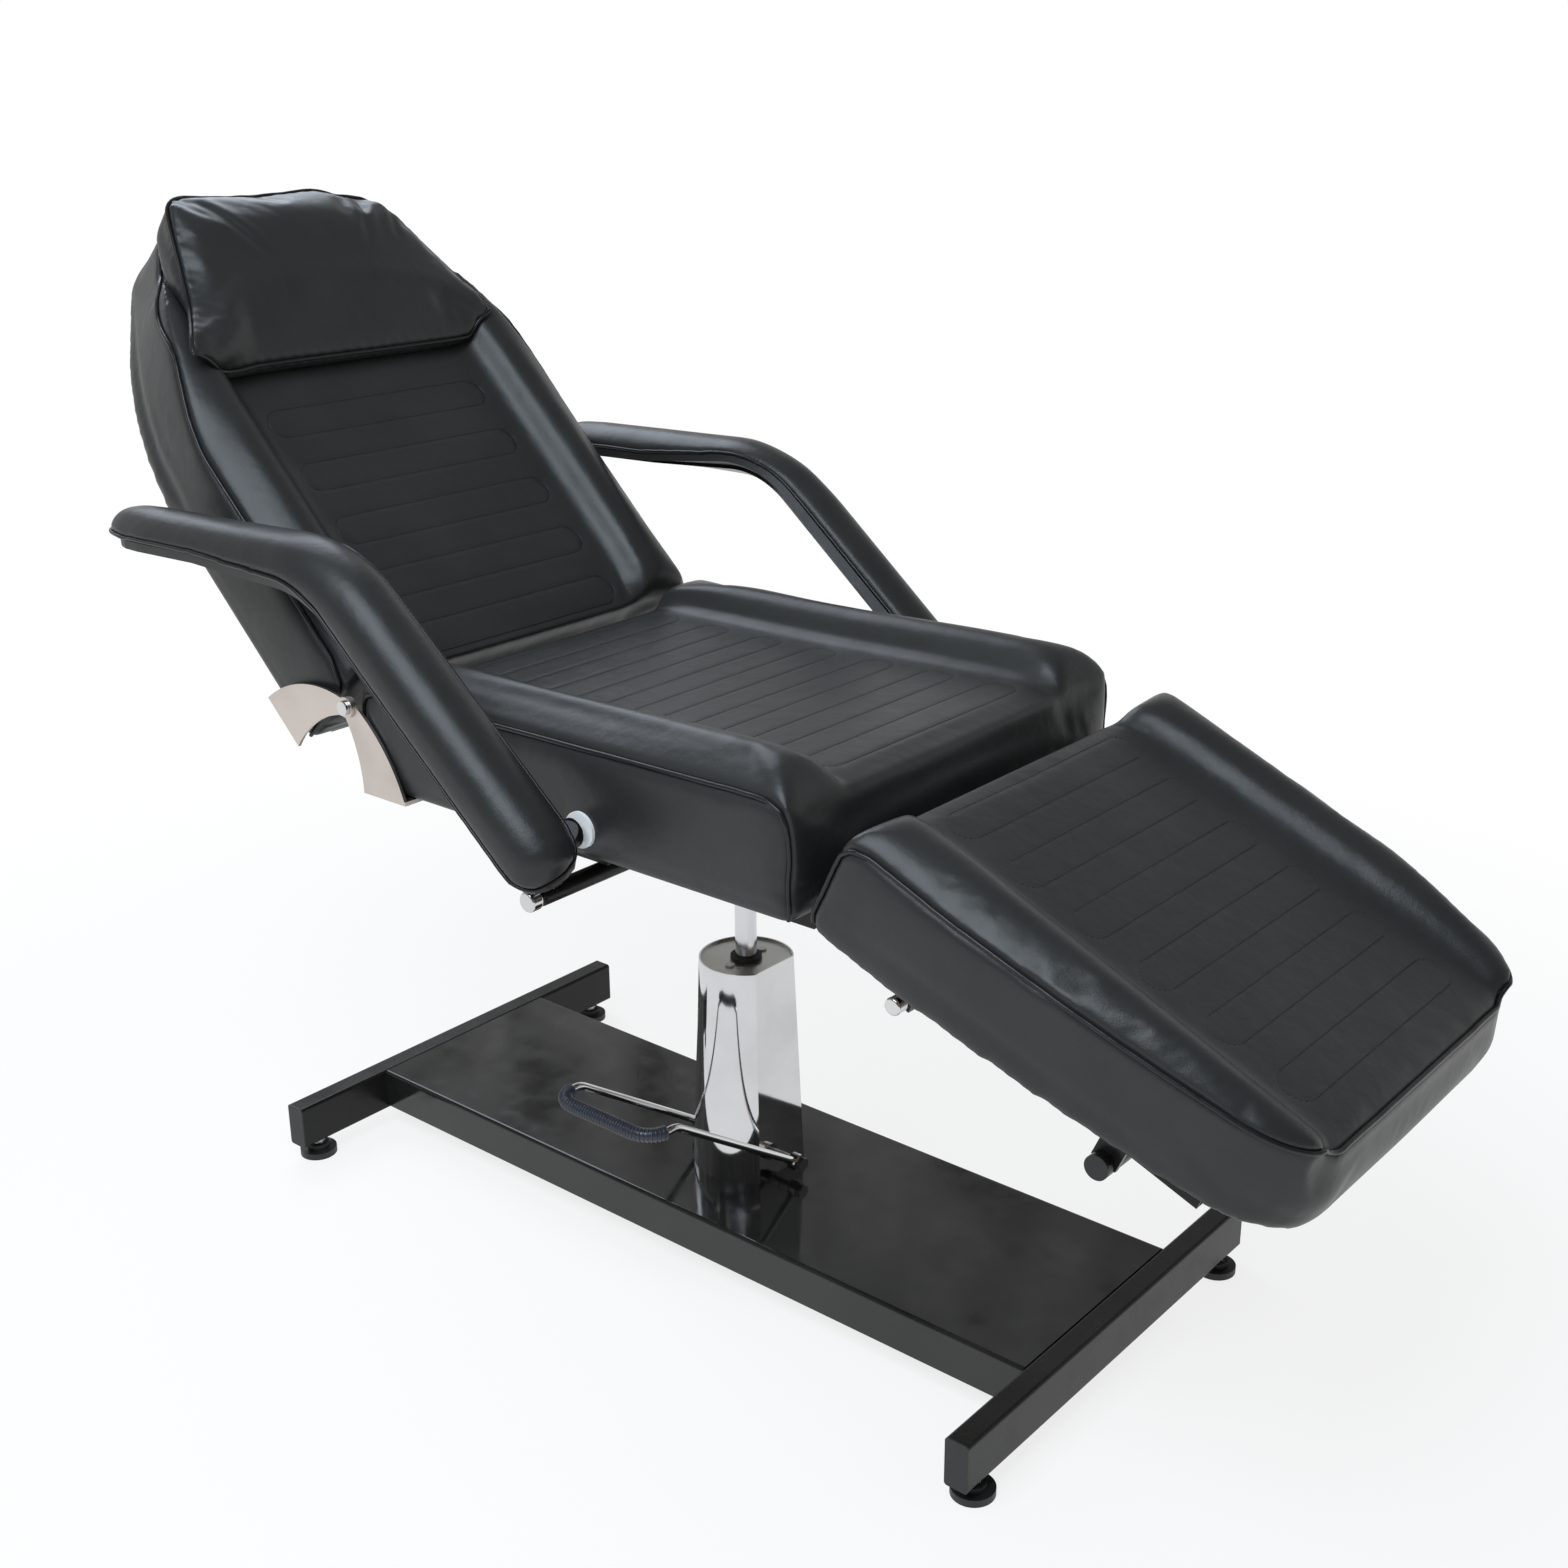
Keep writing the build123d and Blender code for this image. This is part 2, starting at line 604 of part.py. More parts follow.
def pedal_shaft():
    """Shaft through the pump that the pedal turns."""
    return x_bar(PEDAL_SHAFT_RADIUS, 0, PEDAL_SHAFT_Z, PUMP_X - PEDAL_SHAFT_HALF, PUMP_X + PEDAL_SHAFT_HALF)


def pedal_path():
    """Centre line of the bent pedal rod, from one eye round to the other."""
    angle = radians(PEDAL_ARM_ANGLE)
    start = PEDAL_EYE_RADIUS - PEDAL_ROD_RADIUS / 2
    knee = PEDAL_DROP_START_SHARE * PEDAL_ARM_LENGTH

    def spot(x, along, drop):
        return Vector(PUMP_X + x, -along * cos(angle), PEDAL_SHAFT_Z + along * sin(angle) - drop)

    half = PEDAL_ARM_HALF
    points = [
        spot(-half, start, 0),
        spot(-half, knee, 0),
        spot(-half, PEDAL_ARM_LENGTH, PEDAL_BAR_DROP),
        spot(half, PEDAL_ARM_LENGTH, PEDAL_BAR_DROP),
        spot(half, knee, 0),
        spot(half, start, 0),
    ]
    return bent_wire(points, PEDAL_CORNER)


def bent_wire(points, radius):
    """Wire through points with every inner corner rounded alike."""
    edges = []
    here = points[0]
    for i in range(1, len(points) - 1):
        back = (points[i - 1] - points[i]).normalized()
        ahead = (points[i + 1] - points[i]).normalized()
        turn = radians(back.get_angle(ahead))
        cut = radius / tan(turn / 2)
        first = points[i] + back * cut
        last = points[i] + ahead * cut
        bisector = (back + ahead).normalized()
        deep = radius / sin(turn / 2)
        middle = points[i] + bisector * (deep - radius)
        edges.append(Edge.make_line(here, first))
        edges.append(Edge.make_three_point_arc(first, middle, last))
        here = last
    edges.append(Edge.make_line(here, points[-1]))
    return Wire(edges)


def tube_along(wire, radius):
    """Round solid that follows a wire."""
    start = Plane(origin=wire @ 0, z_dir=wire % 0)
    return sweep(start * Circle(radius), path=wire)


def pedal_rod():
    """Bent chrome rod with an eye on each end of the shaft."""
    rod = tube_along(pedal_path(), PEDAL_ROD_RADIUS)
    for side in (-1, 1):
        x = PUMP_X + side * PEDAL_ARM_HALF
        half = PEDAL_EYE_WIDTH / 2
        rod += x_bar(PEDAL_EYE_RADIUS, 0, PEDAL_SHAFT_Z, x - half, x + half)
    reach = PEDAL_SHAFT_HALF + CUT_OVERRUN
    return rod - x_bar(PEDAL_SHAFT_RADIUS, 0, PEDAL_SHAFT_Z, PUMP_X - reach, PUMP_X + reach)


def pedal_grip():
    """Ribbed sleeve over the foot bar and its bends."""
    path = pedal_path()
    outer = tube_along(path, PEDAL_ROD_RADIUS + GRIP_WALL)
    angle = radians(PEDAL_ARM_ANGLE)
    keep = GRIP_START_SHARE * PEDAL_ARM_LENGTH * cos(angle)
    far = 2 * PEDAL_ARM_LENGTH
    outer &= span_box(-far, far, -far, -keep, 0, 2 * far)
    return outer - tube_along(path, PEDAL_ROD_RADIUS)


def pedal_nuts():
    """Nuts on both ends of the pedal shaft."""
    nuts = []
    inner = PEDAL_ARM_HALF + PEDAL_EYE_WIDTH / 2
    for side in (-1, 1):
        nut = Rot(0, 90, 0) * hexagon(PEDAL_NUT_FLAT, PEDAL_NUT_HEIGHT)
        start = PUMP_X + (inner if side > 0 else -inner - PEDAL_NUT_HEIGHT)
        nuts.append(Pos(start, 0, PEDAL_SHAFT_Z) * nut - pedal_shaft())
    return nuts


# Cushions

def section_face(half, bottom, side, crest_half, crest, well_half, well):
    """Outline across a cushion: bowed sides, rolled bolsters, flat channel field."""
    middle = (bottom + side) / 2
    with BuildSketch() as sketch:
        with BuildLine():
            Line((-half, bottom), (half, bottom))
            ThreePointArc((half, bottom), (half + SIDE_BOW, middle), (half, side))
            ThreePointArc((half, side), (crest_half, crest), (well_half, well))
            Line((well_half, well), (-well_half, well))
            ThreePointArc((-well_half, well), (-crest_half, crest), (-half, side))
            ThreePointArc((-half, side), (-half - SIDE_BOW, middle), (-half, bottom))
        make_face()
    return sketch.sketch


def stadium_groove(x, z, half_width, half_span):
    """Stitched channel: a round groove along a closed loop with round ends."""
    straight = half_span - half_width
    groove = STITCH_GROOVE
    parts = [y_bar(groove, x - half_width, z, -straight, straight)]
    parts.append(y_bar(groove, x + half_width, z, -straight, straight))
    for side in (-1, 1):
        ring = Torus(half_width, groove)
        keep = span_box(-half_width - 2 * groove, half_width + 2 * groove, 0, side * 2 * half_width, -groove, groove)
        parts.append(Pos(x, side * straight, z) * (ring & keep))
    return parts


def seat_side_face():
    """Side outline of the seat cushion, rounded in front and behind."""
    top = SEAT_CREST + CUT_OVERRUN
    front = SEAT_FRONT_ROUND
    rear = SEAT_REAR_ROUND
    share = 1 - cos(radians(45))
    with BuildSketch() as sketch:
        with BuildLine():
            Line((SEAT_REAR, 0), (SEAT_FRONT, 0))
            Line((SEAT_FRONT, 0), (SEAT_FRONT, top - front))
            ThreePointArc(
                (SEAT_FRONT, top - front),
                (SEAT_FRONT - share * front, top - share * front),
                (SEAT_FRONT - front, top),
            )
            ThreePointArc(
                (SEAT_FRONT - front, top),
                ((SEAT_FRONT + SEAT_REAR) / 2, top + SEAT_REAR_DIP / 2),
                (SEAT_REAR + rear, top - SEAT_REAR_DIP),
            )
            ThreePointArc(
                (SEAT_REAR + rear, top - SEAT_REAR_DIP),
                (SEAT_REAR + share * rear, top - SEAT_REAR_DIP - share * rear),
                (SEAT_REAR, top - SEAT_REAR_DIP - rear),
            )
            Line((SEAT_REAR, top - SEAT_REAR_DIP - rear), (SEAT_REAR, 0))
        make_face()
    return sketch.sketch


def cut_loops(body, first, pitch, count, width, half_span, z):
    """Cuts the stitched channels into a cushion's flat field."""
    for i in range(count):
        for piece in stadium_groove(first + i * pitch, z, width / 2, half_span):
            body -= piece
    return body


def seat_cushion_blank():
    """Seat cushion before anything is let into it."""
    face = section_face(SEAT_HALF, 0, SEAT_SIDE, SEAT_CREST_HALF, SEAT_CREST, SEAT_WELL_HALF, SEAT_WELL)
    across = extrude(Plane.YZ * face, 2 * SEAT_FRONT, both=True)
    along = xz_prism(seat_side_face(), -2 * SEAT_HALF, 2 * SEAT_HALF)
    body = across & along
    width = LOOP_WIDTH_SHARE * SEAT_LOOP_PITCH
    first = SEAT_REAR + SEAT_FIRST_LOOP
    body = cut_loops(body, first, SEAT_LOOP_PITCH, SEAT_LOOPS, width, SEAT_LOOP_HALF, SEAT_WELL)
    return Pos(0, 0, SEAT_BOTTOM) * body


def seat_board():
    """Plywood let into the underside of the seat cushion."""
    half = SEAT_HALF - BOARD_INSET
    top = SEAT_BOTTOM + BOARD_THICKNESS
    return span_box(SEAT_REAR + BOARD_INSET, SEAT_FRONT - BOARD_INSET, -half, half, SEAT_BOTTOM, top)


def seat_cushion():
    """Upholstered seat with room for its board, arm plates and studs."""
    body = seat_cushion_blank() - seat_board()
    for piece in arm_mounts() + arm_studs():
        body -= piece
    return body


def back_outline(inset):
    """Plan outline of the backrest with round shoulders and top, taken in by inset."""
    half = BACK_HALF + SIDE_BOW - inset
    end = BACK_LENGTH - inset
    shoulder = (BACK_SHOULDER_MID, BACK_SHOULDER_MID_SHARE * half)
    neck = (BACK_SHOULDER_END, BACK_SHOULDER_END_SHARE * half)
    top = (BACK_TOP_START - inset, BACK_TOP_START_SHARE * half)
    crown = (end - BACK_TOP_MID_DROP, BACK_TOP_MID_SHARE * half)
    with BuildSketch() as sketch:
        with BuildLine():
            Line((inset, -half), (inset, half))
            Line((inset, half), (BACK_SHOULDER_START, half))
            ThreePointArc((BACK_SHOULDER_START, half), shoulder, neck)
            Line(neck, top)
            ThreePointArc(top, crown, (end, 0))
            ThreePointArc((end, 0), (crown[0], -crown[1]), (top[0], -top[1]))
            Line((top[0], -top[1]), (neck[0], -neck[1]))
            ThreePointArc((neck[0], -neck[1]), (shoulder[0], -shoulder[1]), (BACK_SHOULDER_START, -half))
            Line((BACK_SHOULDER_START, -half), (inset, -half))
        make_face()
    return sketch.sketch


def back_side_face():
    """Side outline of the backrest, rolled at both ends."""
    top = BACK_CREST + CUT_OVERRUN
    low = BACK_END_ROUND
    high = BACK_TOP_ROUND
    share = 1 - cos(radians(45))
    with BuildSketch() as sketch:
        with BuildLine():
            Line((0, 0), (BACK_LENGTH, 0))
            Line((BACK_LENGTH, 0), (BACK_LENGTH, top - high))
            ThreePointArc(
                (BACK_LENGTH, top - high),
                (BACK_LENGTH - share * high, top - share * high),
                (BACK_LENGTH - high, top),
            )
            Line((BACK_LENGTH - high, top), (low, top))
            ThreePointArc((low, top), (share * low, top - share * low), (0, top - low))
            Line((0, top - low), (0, 0))
        make_face()
    return sketch.sketch


def back_cushion_blank():
    """Backrest cushion in its own plane, before its board is let in."""
    face = section_face(BACK_HALF, 0, BACK_THICKNESS, BACK_CREST_HALF, BACK_CREST, BACK_WELL_HALF, BACK_WELL)
    across = extrude(Plane.YZ * face, 2 * BACK_LENGTH, both=True)
    along = xz_prism(back_side_face(), -2 * BACK_HALF, 2 * BACK_HALF)
    plan = extrude(back_outline(0), 2 * BACK_CREST)
    body = across & along & plan
    width = LOOP_WIDTH_SHARE * BACK_LOOP_PITCH
    return cut_loops(body, BACK_FIRST_LOOP, BACK_LOOP_PITCH, BACK_LOOPS, width, BACK_LOOP_HALF, BACK_WELL)


def back_board_local():
    """Plywood of the backrest in its own plane."""
    return extrude(back_outline(BACK_BOARD_INSET), BOARD_THICKNESS)


def back_cushion():
    """Upholstered backrest."""
    return back_plane() * (back_cushion_blank() - back_board_local())


def back_board():
    """Plywood let into the back of the backrest."""
    return back_plane() * back_board_local()


def pillow_plan():
    """Plan outline of the head pillow."""
    with BuildSketch() as sketch:
        with BuildLine():
            Line((PILLOW_START, -PILLOW_START_HALF), (PILLOW_START, PILLOW_START_HALF))
            ThreePointArc(
                (PILLOW_START, PILLOW_START_HALF),
                (PILLOW_MID, PILLOW_MID_HALF),
                (PILLOW_END, PILLOW_END_HALF),
            )
            Line((PILLOW_END, PILLOW_END_HALF), (PILLOW_END, -PILLOW_END_HALF))
            ThreePointArc(
                (PILLOW_END, -PILLOW_END_HALF),
                (PILLOW_MID, -PILLOW_MID_HALF),
                (PILLOW_START, -PILLOW_START_HALF),
            )
        make_face()
        fillet(sketch.vertices().group_by(Axis.X)[-1], PILLOW_TOP_ROUND)
    return sketch.sketch


def pillow_cross():
    """Crowned outline across the pillow."""
    half = PILLOW_START_HALF + CUT_OVERRUN
    low = BACK_THICKNESS + PILLOW_SIDE
    high = BACK_THICKNESS + PILLOW_CROWN
    with BuildSketch() as sketch:
        with BuildLine():
            Line((-half, 0), (half, 0))
            Line((half, 0), (half, low))
            ThreePointArc((half, low), (0, high), (-half, low))
            Line((-half, low), (-half, 0))
        make_face()
    return sketch.sketch


def pillow_side():
    """Outline along the pillow, rolled over at its lower edge."""
    low = BACK_WELL
    side = BACK_THICKNESS + PILLOW_SIDE
    high = BACK_THICKNESS + PILLOW_CROWN + CUT_OVERRUN
    roll = PILLOW_ROLL
    share = 1 - cos(radians(45))
    with BuildSketch() as sketch:
        with BuildLine():
            Line((PILLOW_START, low), (PILLOW_END, low))
            Line((PILLOW_END, low), (PILLOW_END, side))
            ThreePointArc(
                (PILLOW_END, side),
                ((PILLOW_START + PILLOW_END) / 2, high),
                (PILLOW_START + roll, side),
            )
            ThreePointArc(
                (PILLOW_START + roll, side),
                (PILLOW_START + share * roll, side - share * roll),
                (PILLOW_START, side - roll),
            )
            Line((PILLOW_START, side - roll), (PILLOW_START, low))
        make_face()
    return sketch.sketch


def head_pillow():
    """Head pillow lying on the backrest."""
    plan = extrude(pillow_plan(), 2 * BACK_CREST)
    across = extrude(Plane.YZ * pillow_cross(), 2 * BACK_LENGTH)
    along = xz_prism(pillow_side(), -2 * BACK_HALF, 2 * BACK_HALF)
    return back_plane() * (plan & across & along - back_cushion_blank())


def leg_outline(inset):
    """Plan outline of the legrest, curving in to its rounded foot corners, taken in by inset.

    It starts outside the bowed sides, so that it crosses them and does not only touch them.
    """
    half = LEG_HALF + 2 * SIDE_BOW - inset
    middle = LEG_MID_HALF - inset
    foot = LEG_FOOT_HALF - inset
    start = LEG_START + inset
    end = LEG_END - inset
    with BuildSketch() as sketch:
        with BuildLine():
            Line((start, -half), (start, half))
            ThreePointArc((start, half), (LEG_MID, middle), (end, foot))
            Line((end, foot), (end, -foot))
            ThreePointArc((end, -foot), (LEG_MID, -middle), (start, -half))
        make_face()
        fillet(sketch.vertices().group_by(Axis.X)[-1], LEG_FOOT_CORNER - inset)
    return sketch.sketch


def leg_side_face():
    """Side outline of the legrest: rolled ends and tapering underside."""
    top = LEG_CREST_RISE + CUT_OVERRUN
    share = 1 - cos(radians(45))
    first = LEG_END_ROUND
    last = LEG_FOOT_ROUND
    heel = LEG_HEEL_ROUND
    slope = (LEG_THICKNESS - LEG_FOOT_THICKNESS) / (LEG_END - LEG_START)
    with BuildSketch() as sketch:
        with BuildLine():
            Line((LEG_START + heel, slope * heel - LEG_THICKNESS), (LEG_END, -LEG_FOOT_THICKNESS))
            Line((LEG_END, -LEG_FOOT_THICKNESS), (LEG_END, top - last))
            ThreePointArc(
                (LEG_END, top - last),
                (LEG_END - share * last, top - share * last),
                (LEG_END - last, top),
            )
            Line((LEG_END - last, top), (LEG_START + first, top))
            ThreePointArc(
                (LEG_START + first, top),
                (LEG_START + share * first, top - share * first),
                (LEG_START, top - first),
            )
            Line((LEG_START, top - first), (LEG_START, heel - LEG_THICKNESS))
            Line((LEG_START, heel - LEG_THICKNESS), (LEG_START + heel, slope * heel - LEG_THICKNESS))
        make_face()
    return sketch.sketch


def leg_cushion_blank():
    """Legrest cushion in its own plane, before its board is let in."""
    bottom = -LEG_THICKNESS - CUT_OVERRUN
    face = section_face(
        LEG_HALF, bottom, 0, LEG_CREST_HALF, LEG_CREST_RISE, LEG_WELL_HALF, -LEG_WELL_DROP
    )
    across = extrude(Plane.YZ * face, 2 * LEG_END)
    along = xz_prism(leg_side_face(), -2 * LEG_HALF, 2 * LEG_HALF)
    plan = Pos(0, 0, 2 * bottom) * extrude(leg_outline(0), -4 * bottom)
    body = across & along & plan
    width = LOOP_WIDTH_SHARE * LEG_LOOP_PITCH
    return cut_loops(body, LEG_FIRST_LOOP, LEG_LOOP_PITCH, LEG_LOOPS, width, LEG_LOOP_HALF, -LEG_WELL_DROP)


def leg_taper():
    """Turns the level plane of the legrest's boards and rails onto its sloping underside."""
    rise = LEG_THICKNESS - LEG_FOOT_THICKNESS
    angle = degrees(atan2(rise, LEG_END - LEG_START))
    return Pos(LEG_START, 0, -LEG_THICKNESS) * Rot(0, -angle, 0) * Pos(-LEG_START, 0, 0)


def leg_board_local():
    """Plywood of the legrest in its own plane."""
    face = leg_outline(BOARD_INSET)
    return leg_taper() * extrude(face, BOARD_THICKNESS)


def leg_cushion():
    """Upholstered legrest."""
    return leg_plane() * (leg_cushion_blank() - leg_board_local())


def leg_board():
    """Plywood let into the underside of the legrest."""
    return leg_plane() * leg_board_local()


# Seat frame and head

def seat_frame():
    """Welded square tubes under the seat."""
    z0 = FRAME_BOTTOM
    z1 = SEAT_BOTTOM
    end = SEAT_RAIL_HALF_LENGTH
    inner = SEAT_RAIL_Y - RAIL
    pieces = both_sides(tube_rail(-end, end, inner, SEAT_RAIL_Y, z0, z1))
    for x in (-end, PUMP_X - HEAD_CROSS_X, PUMP_X + HEAD_CROSS_X - RAIL, end - RAIL):
        pieces.append(tube_rail(x, x + RAIL, -inner, inner, z0, z1))
    bolts = head_bolt_shanks()
    cut = []
    for piece in pieces:
        for bolt in bolts:
            piece -= bolt
        cut.append(piece)
    return cut


def head_bolt_places():
    """X and Y of the bolts that join the swivel head to the seat frame."""
    x = HEAD_PLATE_LENGTH / 2 - HEAD_BOLT_INSET
    y = HEAD_PLATE_WIDTH / 2 - HEAD_BOLT_INSET
    return [(PUMP_X + i * x, j * y) for i in (-1, 1) for j in (-1, 1)]


def head_bolt_shanks():
    """Shanks of the head bolts."""
    top = SEAT_BOTTOM - RAIL_WALL
    return [z_bar(HEAD_BOLT_RADIUS, x, y, HEAD_BOTTOM, top) for x, y in head_bolt_places()]


def swivel_head():
    """Socket and plate that carry the seat on the lifting rod."""
    head = span_box(
        PUMP_X - HEAD_PLATE_LENGTH / 2,
        PUMP_X + HEAD_PLATE_LENGTH / 2,
        -HEAD_PLATE_WIDTH / 2,
        HEAD_PLATE_WIDTH / 2,
        HEAD_BOTTOM,
        FRAME_BOTTOM,
    )
    head += z_bar(SOCKET_RADIUS, PUMP_X, 0, SOCKET_BOTTOM, HEAD_BOTTOM)
    head -= z_bar(ROD_RADIUS + RUN_FIT, PUMP_X, 0, SOCKET_BOTTOM - CUT_OVERRUN, ROD_TOP + RUN_FIT)
    for bolt in head_bolt_shanks():
        head -= bolt
    return head


def head_bolts():
    """Four bolts up through the head plate into the seat frame."""
    bolts = []
    for (x, y), shank in zip(head_bolt_places(), head_bolt_shanks()):
        head = Pos(x, y, HEAD_BOTTOM - HEAD_BOLT_HEAD) * hexagon(HEAD_BOLT_HEAD_FLAT, HEAD_BOLT_HEAD)
        bolts.append(shank + head)
    return bolts


# Backrest frame and its pivots

def back_frame():
    """Welded square tubes behind the backrest."""
    inner = BACK_RAIL_Y - RAIL
    foot_end = BACK_FOOT_START + RAIL
    pieces = both_sides(tube_rail(foot_end, BACK_RAIL_END, inner, BACK_RAIL_Y, -RAIL, 0))
    pieces.append(tube_rail(BACK_FOOT_START, foot_end, -BACK_FOOT_HALF, BACK_FOOT_HALF, -RAIL, 0))
    pieces.append(tube_rail(BACK_UP_CROSS, BACK_UP_CROSS + RAIL, -inner, inner, -RAIL, 0))
    return [back_plane() * piece for piece in pieces]


def seat_plate_face():
    """Crescent outline of the seat's side plate, as X and Z."""
    heel = (SEAT_PLATE_HEEL_X, SEAT_PLATE_BOTTOM)
    toe = (SEAT_PLATE_TOE_X, SEAT_PLATE_BOTTOM)
    with BuildSketch() as sketch:
        with BuildLine():
            Line(toe, heel)
            ThreePointArc(heel, SEAT_PLATE_INNER_MID, SEAT_PLATE_INNER_TOP)
            Line(SEAT_PLATE_INNER_TOP, SEAT_PLATE_OUTER_TOP)
            ThreePointArc(SEAT_PLATE_OUTER_TOP, SEAT_PLATE_OUTER_MID, toe)
        make_face()
        with Locations((BACK_PIVOT_X, BACK_PIVOT_Z)):
            Circle(LOBE_RADIUS)
    return sketch.sketch


def back_plate_face():
    """Crescent outline of the backrest's side plate, as X and Z."""
    heel = back_point(0, -PLATE_FLANGE)
    end = back_point(BACK_PLATE_OUTER_END_S, -PLATE_FLANGE)
    with BuildSketch() as sketch:
        with BuildLine():
            Line(end, heel)
            ThreePointArc(heel, BACK_PLATE_INNER_MID, BACK_PLATE_INNER_TOP)
            Line(BACK_PLATE_INNER_TOP, BACK_PLATE_OUTER_TOP)
            ThreePointArc(BACK_PLATE_OUTER_TOP, BACK_PLATE_OUTER_MID, end)
        make_face()
        with Locations((BACK_PIVOT_X, BACK_PIVOT_Z)):
            Circle(LOBE_RADIUS)
    return sketch.sketch


def seat_hinge_plates():
    """Polished plates on the seat's sides, each with a foot to the frame."""
    outer = PLATE_INNER + PLATE_THICKNESS
    plate = xz_prism(seat_plate_face(), PLATE_INNER, outer)
    plate -= y_bar(PIVOT_BOLT_RADIUS, BACK_PIVOT_X, BACK_PIVOT_Z, PLATE_INNER - CUT_OVERRUN, outer + CUT_OVERRUN)
    foot_top = SEAT_PLATE_BOTTOM + PLATE_FLANGE
    plate += span_box(
        SEAT_PLATE_HEEL_X, SEAT_PLATE_TOE_X, SEAT_RAIL_Y, outer, SEAT_PLATE_BOTTOM, foot_top
    )
    return both_sides(plate)


def back_hinge_plates():
    """Polished plates on the backrest's sides, each with a foot to the frame."""
    inner = BACK_PLATE_INNER_FACE
    outer = inner + PLATE_THICKNESS
    plate = xz_prism(back_plate_face(), inner, outer)
    hole = PIVOT_BOLT_RADIUS + RUN_FIT
    plate -= y_bar(hole, BACK_PIVOT_X, BACK_PIVOT_Z, inner - CUT_OVERRUN, outer + CUT_OVERRUN)
    foot = span_box(
        BACK_FOOT_START, BACK_FOOT_START + RAIL, BACK_FOOT_HALF, inner + PLATE_THICKNESS, -PLATE_FLANGE, 0
    )
    return both_sides(plate + back_plane() * mirror(foot, Plane.XZ))


def back_pivot_bolts():
    """Bolts that the backrest turns on."""
    outer = BACK_PLATE_INNER_FACE + PLATE_THICKNESS + PART_GAP
    bolt = y_bar(PIVOT_BOLT_RADIUS, BACK_PIVOT_X, BACK_PIVOT_Z, PLATE_INNER, outer)
    head = y_bar(PIVOT_HEAD_RADIUS, BACK_PIVOT_X, BACK_PIVOT_Z, outer, outer + PIVOT_HEAD_HEIGHT)
    return both_sides(bolt + head)


# Legrest frame, hinge and cross tube

def leg_frame():
    """Welded square tubes under the legrest."""
    inner = LEG_RAIL_Y - RAIL
    start = LEG_RAIL_START + RAIL
    pieces = both_sides(tube_rail(start, LEG_RAIL_END, inner, LEG_RAIL_Y, -RAIL, 0))
    pieces.append(tube_rail(LEG_RAIL_START, start, -LEG_RAIL_Y, LEG_RAIL_Y, -RAIL, 0))
    pieces.append(tube_rail(LEG_RAIL_END - 2 * RAIL, LEG_RAIL_END - RAIL, -inner, inner, -RAIL, 0))
    return [leg_plane() * leg_taper() * piece for piece in pieces]


def leg_hinge_ears():
    """Four lugs welded to the front of the seat frame."""
    ears = []
    half = KNUCKLE_WIDTH / 2 + PART_GAP
    low = LEG_PIVOT_Z - EAR_RADIUS
    for start in (KNUCKLE_Y - half - EAR_THICKNESS, KNUCKLE_Y + half):
        end = start + EAR_THICKNESS
        ear = y_bar(EAR_RADIUS, LEG_PIVOT_X, LEG_PIVOT_Z, start, end)
        ear += span_box(SEAT_RAIL_HALF_LENGTH, LEG_PIVOT_X, start, end, low, SEAT_BOTTOM - PART_GAP)
        ear -= y_bar(LEG_PIN_RADIUS, LEG_PIVOT_X, LEG_PIVOT_Z, start - CUT_OVERRUN, end + CUT_OVERRUN)
        ears += both_sides(ear)
    return ears


def leg_hinge_pins():
    """Pins that the legrest turns on."""
    half = KNUCKLE_WIDTH / 2 + PART_GAP + EAR_THICKNESS
    reach = half + PLATE_THICKNESS
    pin = y_bar(LEG_PIN_RADIUS, LEG_PIVOT_X, LEG_PIVOT_Z, KNUCKLE_Y - half, KNUCKLE_Y + half)
    pin += y_bar(EAR_RADIUS, LEG_PIVOT_X, LEG_PIVOT_Z, KNUCKLE_Y + half, KNUCKLE_Y + reach)
    return both_sides(pin)


def leg_knuckles():
    """Knuckles welded to the legrest frame around the pins."""
    t, v = leg_pivot()
    start = KNUCKLE_Y - KNUCKLE_WIDTH / 2
    end = KNUCKLE_Y + KNUCKLE_WIDTH / 2
    link = span_box(t, LEG_RAIL_START, start, end, v - EAR_RADIUS, v + EAR_RADIUS)
    knuckle = leg_plane() * link
    for piece in leg_frame():
        knuckle -= piece
    knuckle += y_bar(EAR_RADIUS, LEG_PIVOT_X, LEG_PIVOT_Z, start, end)
    hole = LEG_PIN_RADIUS + RUN_FIT
    knuckle -= y_bar(hole, LEG_PIVOT_X, LEG_PIVOT_Z, start - CUT_OVERRUN, end + CUT_OVERRUN)
    return both_sides(knuckle)


def cross_tube_place():
    """X and Z of the cross tube under the legrest."""
    return leg_point(CROSS_TUBE_T, -CROSS_TUBE_DROP)


def leg_cross_tube():
    """Round tube hung across the underside of the legrest."""
    x, z = cross_tube_place()
    half = CROSS_TUBE_HALF
    tube = y_bar(CROSS_TUBE_RADIUS, x, z, -half, half)
    return tube - y_bar(CROSS_TUBE_RADIUS - CROSS_TUBE_WALL, x, z, -half, half)


def leg_tube_caps():
    """Caps on both ends of the cross tube."""
    x, z = cross_tube_place()
    half = CROSS_TUBE_HALF
    cap = y_bar(CROSS_TUBE_RADIUS, x, z, half, half + TUBE_CAP)
    cap += y_bar(CROSS_TUBE_RADIUS - CROSS_TUBE_WALL, x, z, half - 2 * TUBE_CAP, half)
    return both_sides(cap)


